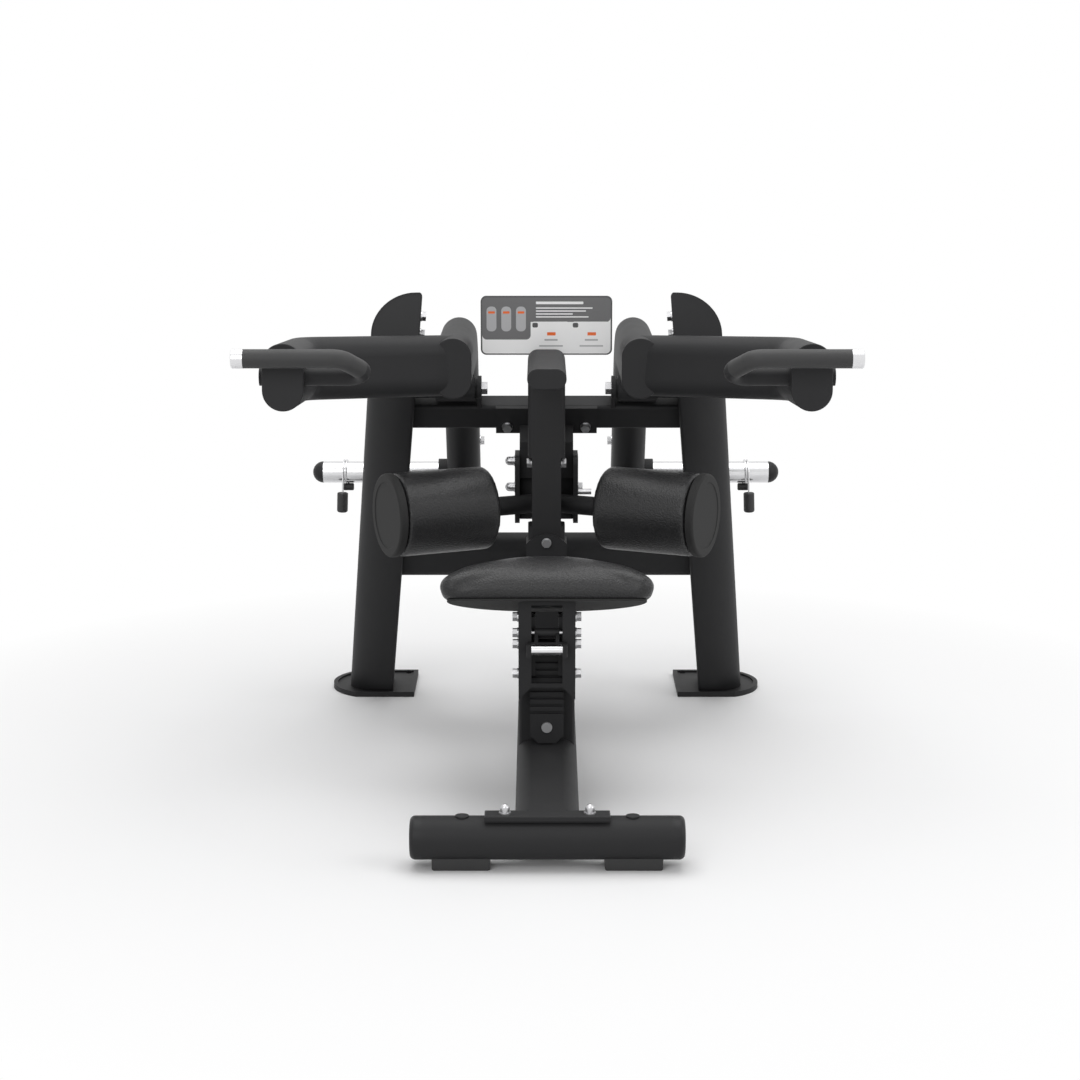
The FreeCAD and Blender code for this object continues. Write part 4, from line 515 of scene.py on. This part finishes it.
@dataclass(frozen=True)
class PrintedSheet:
    """The placard's print: a border, a dark field, a pale field and two panels with bars."""

    sheet_low: Vector
    sheet_high: Vector
    ink: Colour = (0.062, 0.062, 0.064)
    field_grey: Colour = (0.125, 0.125, 0.128)
    paper: Colour = (0.86, 0.86, 0.86)
    soft_grey: Colour = (0.42, 0.42, 0.43)
    accent: Colour = (0.78, 0.13, 0.012)
    sheet: Patch = Patch(0.012, 0.988, 0.024, 0.976, 0.0095)
    dark_fields: tuple[Patch, ...] = (Patch(0.012, 0.988, 0.560, 0.976, 0.0095),
                                      Patch(0.012, 0.380, 0.260, 0.976, 0.0095))
    panel_starts: tuple[float, ...] = (0.385, 0.692)
    panel: Patch = Patch(0.0, 0.290, 0.040, 0.565, 0.0060)
    tab: Patch = Patch(0.008, 0.050, 0.465, 0.545, 0.0030)
    grey_bars: tuple[Patch, ...] = (Patch(0.06, 0.24, 0.14, 0.165, 0.0010),
                                    Patch(0.10, 0.20, 0.24, 0.270, 0.0010))
    bright_bar: Patch = Patch(0.12, 0.185, 0.33, 0.385, 0.0010)
    post_starts: tuple[float, ...] = (0.045, 0.157, 0.269)
    post: Patch = Patch(0.0, 0.075, 0.40, 0.82, 0.0090)
    post_mark: Patch = Patch(0.012, 0.063, 0.70, 0.74, 0.0015)
    rules: tuple[Patch, ...] = (Patch(0.42, 0.78, 0.86, 0.905, 0.0008),
                                Patch(0.42, 0.85, 0.785, 0.805, 0.0008),
                                Patch(0.42, 0.80, 0.735, 0.755, 0.0008),
                                Patch(0.42, 0.70, 0.685, 0.705, 0.0008),
                                Patch(0.42, 0.82, 0.635, 0.655, 0.0008))
    gloss: Cloud = Cloud(30.0)
    base_rough: float = 0.30
    gloss_rough: float = 0.10
    coat: float = 0.25
    coat_rough: float = 0.15

    def inks(self) -> list[tuple[Patch, Colour]]:
        """List what is printed over the paper, from the lowest layer up.

        Returns:
            Each patch with its colour.
        """
        layers = [(patch, self.field_grey) for patch in self.dark_fields]
        for start in self.panel_starts:
            layers += [(self.panel.moved(start), self.paper), (self.tab.moved(start), self.ink)]
            layers += [(bar.moved(start), self.soft_grey) for bar in self.grey_bars]
            layers.append((self.bright_bar.moved(start), self.accent))
        for start in self.post_starts:
            layers += [(self.post.moved(start), self.soft_grey), (self.post_mark.moved(start), self.accent)]
        return layers + [(rule, self.paper) for rule in self.rules]

    def mask(self, bench: ShaderBench, patch: Patch) -> Field:
        """Mark the inside of a patch.

        Args:
            bench: The material being built.
            patch: The patch.

        Returns:
            One inside the patch, else zero.
        """
        width = self.sheet_high.x - self.sheet_low.x
        height = self.sheet_high.z - self.sheet_low.z
        half_x = (patch.right - patch.left) * width / 2 - patch.corner
        half_z = (patch.high - patch.low) * height / 2 - patch.corner
        middle_x = self.sheet_low.x + (patch.left + patch.right) / 2 * width
        middle_z = self.sheet_low.z + (patch.low + patch.high) / 2 * height
        across = (abs(bench.axis("X") - middle_x) - half_x).at_least(0.0)
        up = (abs(bench.axis("Z") - middle_z) - half_z).at_least(0.0)
        return (across * across + up * up).root() < patch.corner

    def build(self) -> bpy.types.Material:
        """Make the material.

        Returns:
            The new material.
        """
        bench = ShaderBench("printed_sheet")
        colour = bench.blend(self.mask(bench, self.sheet), self.ink, self.paper)
        for patch, ink in self.inks():
            colour = bench.blend(self.mask(bench, patch), colour, ink)
        bench.colour(colour)
        bench.rough(self.base_rough + bench.noise(self.gloss) * self.gloss_rough)
        bench.constant(Coat_Weight=self.coat, Coat_Roughness=self.coat_rough)
        return bench.material


@dataclass(frozen=True)
class PlainFloor:
    """A pale studio floor that keeps shadows near the object and fades to the background."""

    pale: Colour = (0.87, 0.87, 0.874)
    rough: float = 0.75
    fade_from: float = 0.80
    fade_over: float = 0.90

    def build(self) -> bpy.types.Material:
        """Make the material.

        Returns:
            The new material.
        """
        bench = ShaderBench("plain_floor")
        x, y = bench.axis("X"), bench.axis("Y")
        reach = (x * x + y * y).root()
        fade = ((reach - self.fade_from) * (1.0 / self.fade_over)).clipped()
        bench.colour(self.pale)
        bench.rough(self.rough)
        glow = bench.node("ShaderNodeEmission", inputs={"Color": WHITE, "Strength": 1.0})
        mix = bench.node("ShaderNodeMixShader", inputs={
            0: fade * bench.seen(), 1: bench.shader.outputs["BSDF"], 2: glow.outputs[0]})
        bench.feed(bench.output.inputs["Surface"], mix.outputs[0])
        return bench.material


class FinishSet:
    """Every finish of the machine, by the record's slot."""

    def __init__(self) -> None:
        """Build the materials."""
        sheet_low, sheet_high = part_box("placard")
        zinc = BrightMetal("zinc_plate", tint=(0.60, 0.60, 0.61), worn=(0.45, 0.45, 0.46),
                           base_rough=0.24, smudge=0.18)
        chrome = BrightMetal("satin_chrome", tint=(0.80, 0.80, 0.81), worn=(0.66, 0.66, 0.67),
                             base_rough=0.16, smudge=0.12)
        self.board = DarkBoard().build()
        self.by_slot = {
            Slot.PAINT: PowderCoat().build(),
            Slot.CAP: MouldedPlastic().build(),
            Slot.RUBBER: GripRubber().build(),
            Slot.UPHOLSTERY: GrainedLeather().build(),
            Slot.STEEL: zinc.build(),
            Slot.CHROME: chrome.build(),
            Slot.PRINT: PrintedSheet(sheet_low, sheet_high).build(),
        }

    def dress(self, piece: bpy.types.Object, slot: Slot) -> None:
        """Give a piece one finish all over."""
        piece.data.materials.clear()
        piece.data.materials.append(self.by_slot[slot])

    def dress_part(self, piece: bpy.types.Object, slot: Slot,
                   chosen: Callable[[bpy.types.MeshPolygon], bool]) -> None:
        """Give some faces of a dressed piece a second finish.

        Args:
            piece: The piece, already dressed in its main finish.
            slot: The slot of the second finish.
            chosen: Tells whether a face takes the second finish.
        """
        piece.data.materials.append(self.by_slot[slot])
        for face in piece.data.polygons:
            face.material_index = 1 if chosen(face) else 0


def alone(piece: bpy.types.Object) -> None:
    """Select one object and make it active."""
    bpy.ops.object.select_all(action="DESELECT")
    piece.select_set(True)
    bpy.context.view_layer.objects.active = piece


def edit_all(piece: bpy.types.Object, work: Callable[[], object]) -> None:
    """Run edit operators on the whole of a mesh.

    Args:
        piece: The object to edit.
        work: What to do in edit mode, with everything selected.
    """
    alone(piece)
    bpy.ops.object.mode_set(mode="EDIT")
    bpy.ops.mesh.select_all(action="SELECT")
    work()
    bpy.ops.object.mode_set(mode="OBJECT")


def add_modifier(piece: bpy.types.Object, kind: str, **settings: object) -> None:
    """Add a modifier and apply it.

    Args:
        piece: The object to change.
        kind: The modifier's type.
        **settings: Its settings by name.
    """
    alone(piece)
    bpy.ops.object.modifier_add(type=kind)
    modifier = piece.modifiers[-1]
    for key, value in settings.items():
        setattr(modifier, key, value)
    bpy.ops.object.modifier_apply(modifier=modifier.name)


def joint_of(body: str) -> dict:
    """The joint that carries a body."""
    return next(joint for joint in frame["joints"] if joint["child"] == body)


@dataclass(frozen=True)
class Stuffing:
    """How a padded piece is swollen under its cover, and how far a point may go at most."""

    most: float
    voxel: float = 0.005
    weld: float = 0.00005
    pressure: float = 4.0
    frames: int = 18
    smooth_factor: float = 0.5
    smooth_rounds: int = 6


class PaddedPiece:
    """A foam piece under synthetic leather, started from its plain solid."""

    def __init__(self, node: str, name: str, stuffing: Stuffing, held: Callable[[Vector], bool]) -> None:
        """Copy the solid's mesh.

        Args:
            node: The CAD node that the piece stands for.
            name: The new piece's name.
            stuffing: How it is swollen.
            held: Tells which points stay where they are.
        """
        self.node, self.stuffing, self.held = node, stuffing, held
        source = bpy.data.objects[node]
        self.piece = bpy.data.objects.new(name, source.data.copy())
        bpy.context.scene.collection.objects.link(self.piece)
        edit_all(self.piece, self.clean)

    def clean(self) -> None:
        """Merge loose triangles and turn the faces outwards."""
        bpy.ops.mesh.remove_doubles(threshold=self.stuffing.weld)
        bpy.ops.mesh.normals_make_consistent(inside=False)

    def swell(self) -> None:
        """Remesh the solid and press it out like filled cloth."""
        stuffing = self.stuffing
        add_modifier(self.piece, "REMESH", mode="VOXEL", voxel_size=stuffing.voxel)
        self.simulate()
        add_modifier(self.piece, "SMOOTH", factor=stuffing.smooth_factor, iterations=stuffing.smooth_rounds)
        add_modifier(self.piece, "SUBSURF", levels=1, render_levels=1)
        edit_all(self.piece, bpy.ops.mesh.faces_shade_smooth)

    def simulate(self) -> None:
        """Run the cloth with pressure inside and cap how far a point may go."""
        piece, stuffing, scene = self.piece, self.stuffing, bpy.context.scene
        start = [vertex.co.copy() for vertex in piece.data.vertices]
        group = piece.vertex_groups.new(name="held")
        group.add([vertex.index for vertex in piece.data.vertices if self.held(vertex.co)], 1.0, "REPLACE")
        alone(piece)
        bpy.ops.object.modifier_add(type="CLOTH")
        cloth = piece.modifiers[-1]
        cloth.settings.use_pressure = True
        cloth.settings.uniform_pressure_force = stuffing.pressure
        cloth.settings.effector_weights.gravity = 0.0
        cloth.settings.vertex_group_mass = group.name
        cloth.point_cache.frame_end = stuffing.frames
        for step in range(1, stuffing.frames + 1):
            scene.frame_set(step)
        bpy.ops.object.modifier_apply(modifier=cloth.name)
        scene.frame_set(1)
        for vertex, place in zip(piece.data.vertices, start):
            shift = vertex.co - place
            if shift.length > stuffing.most:
                vertex.co = place + shift * (stuffing.most / shift.length)
        piece.vertex_groups.clear()

    def declare(self, body: str, finishes: FinishSet) -> None:
        """Dress the piece, hide the solid it stands for and fix it to the body that carries it.

        Args:
            body: The body that carries it.
            finishes: The machine's finishes.
        """
        finishes.dress(self.piece, Slot.UPHOLSTERY)
        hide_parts(self.node)
        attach(self.piece, body)


@dataclass
class Seat:
    """The tilted, crowned D-shaped seat cushion, held where it sits on its board."""

    tilt: float = math.radians(18.0)
    held_height: float = 0.010
    fill: float = 0.9
    stuffing: Stuffing = Stuffing(most=0.006)

    def build(self, finishes: FinishSet) -> None:
        """Make the cushion.

        Args:
            finishes: The machine's finishes.
        """
        board_low, board_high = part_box("seat_base")
        on_board = Vector((0.0, board_low.y, board_high.z))
        up = Vector((0.0, math.sin(self.tilt), math.cos(self.tilt)))
        padded = PaddedPiece("seat_pad", "seat_cushion", self.stuffing,
                             partial(self.near_board, on_board, up))
        padded.swell()
        padded.declare("seat", finishes)
        LOG.info("seat cushion")

    def near_board(self, on_board: Vector, up: Vector, place: Vector) -> bool:
        """Whether a point lies just over the board, where the cloth is held."""
        return (place - on_board).dot(up) < self.held_height


@dataclass
class Rollers:
    """The padded covers of the two thigh rollers, held at their bores and ends."""

    bore: float = 0.048
    end_margin: float = 0.006
    fill: float = 0.95
    stuffing: Stuffing = Stuffing(most=0.002)

    def build(self, finishes: FinishSet) -> None:
        """Make both rollers.

        Args:
            finishes: The machine's finishes.
        """
        for side in Side:
            joint = joint_of("roller_" + side.value)
            origin, axis = Vector(joint["pos_m"]), Vector(joint["axis"]).normalized()
            node = bpy.data.objects["roller_pad_" + side.value]
            reach = [(vertex.co - origin).dot(axis) for vertex in node.data.vertices]
            limits = min(reach) + self.end_margin, max(reach) - self.end_margin
            padded = PaddedPiece("roller_pad_" + side.value, "roller_cover_" + side.value, self.stuffing,
                                 partial(self.near_hub, origin, axis, limits))
            padded.swell()
            padded.declare("roller_" + side.value, finishes)
            LOG.info("roller cover %s", side.value)

    def near_hub(self, origin: Vector, axis: Vector, limits: tuple[float, float], place: Vector) -> bool:
        """Tell whether a point lies near the roller's bore or one of its ends.

        Args:
            origin: A point on the roller's axis.
            axis: The axis's direction.
            limits: How far along the axis the free part starts and ends.
            place: The point.

        Returns:
            True where the cloth is held.
        """
        along = (place - origin).dot(axis)
        away = (place - origin - axis * along).length
        return away < self.bore or not limits[0] < along < limits[1]


@dataclass
class BracketBack:
    """The plate that closes the back of the roller bracket, between its cheeks."""

    thickness: float = 10.0 * MILLIMETRE
    axle_radius: float = 20.0 * MILLIMETRE
    behind_axle: float = 6.0 * MILLIMETRE
    low: float = 489.0 * MILLIMETRE
    high: float = 582.0 * MILLIMETRE
    cheek: float = 10.0 * MILLIMETRE
    edge: float = 1.5 * MILLIMETRE
    edge_steps: int = 3
    smooth_angle: float = math.radians(35.0)

    def build(self, finishes: FinishSet) -> None:
        """Make the plate, round its edges, dress it and fix it to the frame.

        Args:
            finishes: The machine's finishes.
        """
        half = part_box("roller_bracket")[1].x - self.cheek
        apex = Vector(joint_of("roller_left")["pos_m"])
        front = apex.y + self.axle_radius + self.behind_axle
        middle = (0.0, front + self.thickness / 2, (self.low + self.high) / 2)
        bpy.ops.object.select_all(action="DESELECT")
        bpy.ops.mesh.primitive_cube_add(size=1.0, location=middle)
        plate = bpy.context.view_layer.objects.active
        plate.name = "bracket_back_plate"
        plate.scale = (2 * half, self.thickness, self.high - self.low)
        bpy.ops.object.transform_apply(location=True, rotation=True, scale=True)
        add_modifier(plate, "BEVEL", width=self.edge, segments=self.edge_steps, limit_method="ANGLE")
        bpy.ops.object.shade_smooth_by_angle(angle=self.smooth_angle)
        finishes.dress(plate, Slot.PAINT)
        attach(plate, "frame")
        LOG.info("bracket back plate")


@dataclass
class Machine:
    """The whole machine: the finishes of its rigid nodes and the soft pieces over them."""

    pivot_head_x: float = 136.0 * MILLIMETRE
    print_normal_y: float = -0.6
    board_nodes: tuple[str, ...] = ("seat_base", "roller_hub_left", "roller_hub_right")
    finishes: FinishSet = field(default_factory=FinishSet)

    def dress_nodes(self) -> None:
        """Give every rigid node its slot's finish, and the few that differ their own."""
        nodes, finishes = frame["nodes"], self.finishes
        slots = {part["node"]: part["material_slot"] for part in frame["record"]["subparts"]}
        for name, node in nodes.items():
            finishes.dress(node, Slot(slots[name]))
        for name in self.board_nodes:
            nodes[name].data.materials[0] = finishes.board
        finishes.dress_part(nodes["pivot_axles"], Slot.PAINT, self.on_pivot_head)
        finishes.dress_part(nodes["placard"], Slot.CAP, self.off_placard_front)
        LOG.info("%d nodes dressed", len(slots))

    def on_pivot_head(self, face: bpy.types.MeshPolygon) -> bool:
        """Whether a face lies on a pivot axle's painted head."""
        return abs(face.center.x) > self.pivot_head_x

    def off_placard_front(self, face: bpy.types.MeshPolygon) -> bool:
        """Whether a face lies on the placard's edge or back."""
        return face.normal.y > self.print_normal_y

    def build(self) -> None:
        """Dress the frame and make the pieces over it."""
        self.dress_nodes()
        for section in (BracketBack(), Seat(), Rollers()):
            section.build(self.finishes)


@dataclass(frozen=True)
class Lamp:
    """A soft square lamp that faces a point, in metres and watts."""

    name: str
    place: Place
    aim: Place
    size: float
    power: float

    def build(self) -> None:
        """Hang the lamp and turn it to its point."""
        light = bpy.data.lights.new(self.name, "AREA")
        light.shape = "SQUARE"
        light.size = self.size
        light.energy = self.power
        lamp = bpy.data.objects.new(self.name, light)
        lamp.location = self.place
        lamp.rotation_euler = (Vector(self.aim) - Vector(self.place)).to_track_quat("-Z", "Y").to_euler()
        bpy.context.scene.collection.objects.link(lamp)


@dataclass
class Studio:
    """The camera at the photograph's view, the soft lights, the floor and the background."""

    lens: float = 77.0
    sensor_width: float = 36.0
    view_end: float = 200.0
    pitch: float = math.radians(11.74)
    eye: Place = (-0.0134, -4.6708, 1.440)
    floor_half: float = 40.0
    room_light: float = 0.46
    lamps: tuple[Lamp, ...] = (
        Lamp("top_softbox", place=(0.0, 0.1, 3.6), aim=(0.0, 0.0, 0.4), size=3.4, power=82.0),
        Lamp("front_softbox", place=(-1.4, -4.4, 2.8), aim=(0.0, 0.0, 0.5), size=2.2, power=48.0),
        Lamp("side_softbox", place=(3.4, -1.6, 2.4), aim=(0.0, 0.0, 0.5), size=2.2, power=34.0),
    )

    def camera(self) -> None:
        """Set the camera."""
        optics = bpy.data.cameras.new("photo_view")
        optics.lens = self.lens
        optics.sensor_width = self.sensor_width
        optics.clip_end = self.view_end
        camera = bpy.data.objects.new("photo_view", optics)
        camera.location = self.eye
        camera.rotation_euler = (math.pi / 2 - self.pitch, 0.0, 0.0)
        bpy.context.scene.collection.objects.link(camera)
        bpy.context.scene.camera = camera

    def world(self) -> None:
        """Set a white background over a plainer light."""
        world = bpy.data.worlds.new("white_room")
        bpy.context.scene.world = world
        world.use_nodes = True
        bench = NodeBench(world.node_tree)
        white = bench.node("ShaderNodeBackground", inputs={"Color": WHITE})
        light = bench.node("ShaderNodeBackground", inputs={"Color": WHITE, "Strength": self.room_light})
        mix = bench.node("ShaderNodeMixShader", inputs={
            0: bench.seen(), 1: light.outputs[0], 2: white.outputs[0]})
        bench.node("ShaderNodeOutputWorld", inputs={"Surface": mix.outputs[0]})

    def floor(self) -> None:
        """Lay the floor."""
        bpy.ops.object.select_all(action="DESELECT")
        bpy.ops.mesh.primitive_plane_add(size=2 * self.floor_half, location=(0.0, 0.0, 0.0))
        plane = bpy.context.view_layer.objects.active
        plane.name = "studio_floor"
        plane.data.materials.append(PlainFloor().build())

    def build(self) -> None:
        """Set up the camera, the background, the floor and the lamps."""
        bpy.context.scene.view_settings.view_transform = "Standard"
        self.camera()
        self.world()
        self.floor()
        for lamp in self.lamps:
            lamp.build()
        LOG.info("studio")


def main() -> None:
    """Build the machine and the studio, and log each piece."""
    logging.basicConfig(level=logging.INFO)
    Machine().build()
    Studio().build()


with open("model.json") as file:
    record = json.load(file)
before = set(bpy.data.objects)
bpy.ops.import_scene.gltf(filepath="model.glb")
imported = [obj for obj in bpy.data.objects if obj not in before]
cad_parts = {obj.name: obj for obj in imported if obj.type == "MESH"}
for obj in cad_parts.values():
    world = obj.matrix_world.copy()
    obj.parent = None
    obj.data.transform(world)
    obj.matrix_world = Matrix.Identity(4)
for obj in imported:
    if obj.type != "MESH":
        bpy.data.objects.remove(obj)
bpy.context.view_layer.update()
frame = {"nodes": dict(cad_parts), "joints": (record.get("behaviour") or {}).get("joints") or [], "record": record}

if __name__ == "__main__":
    main()
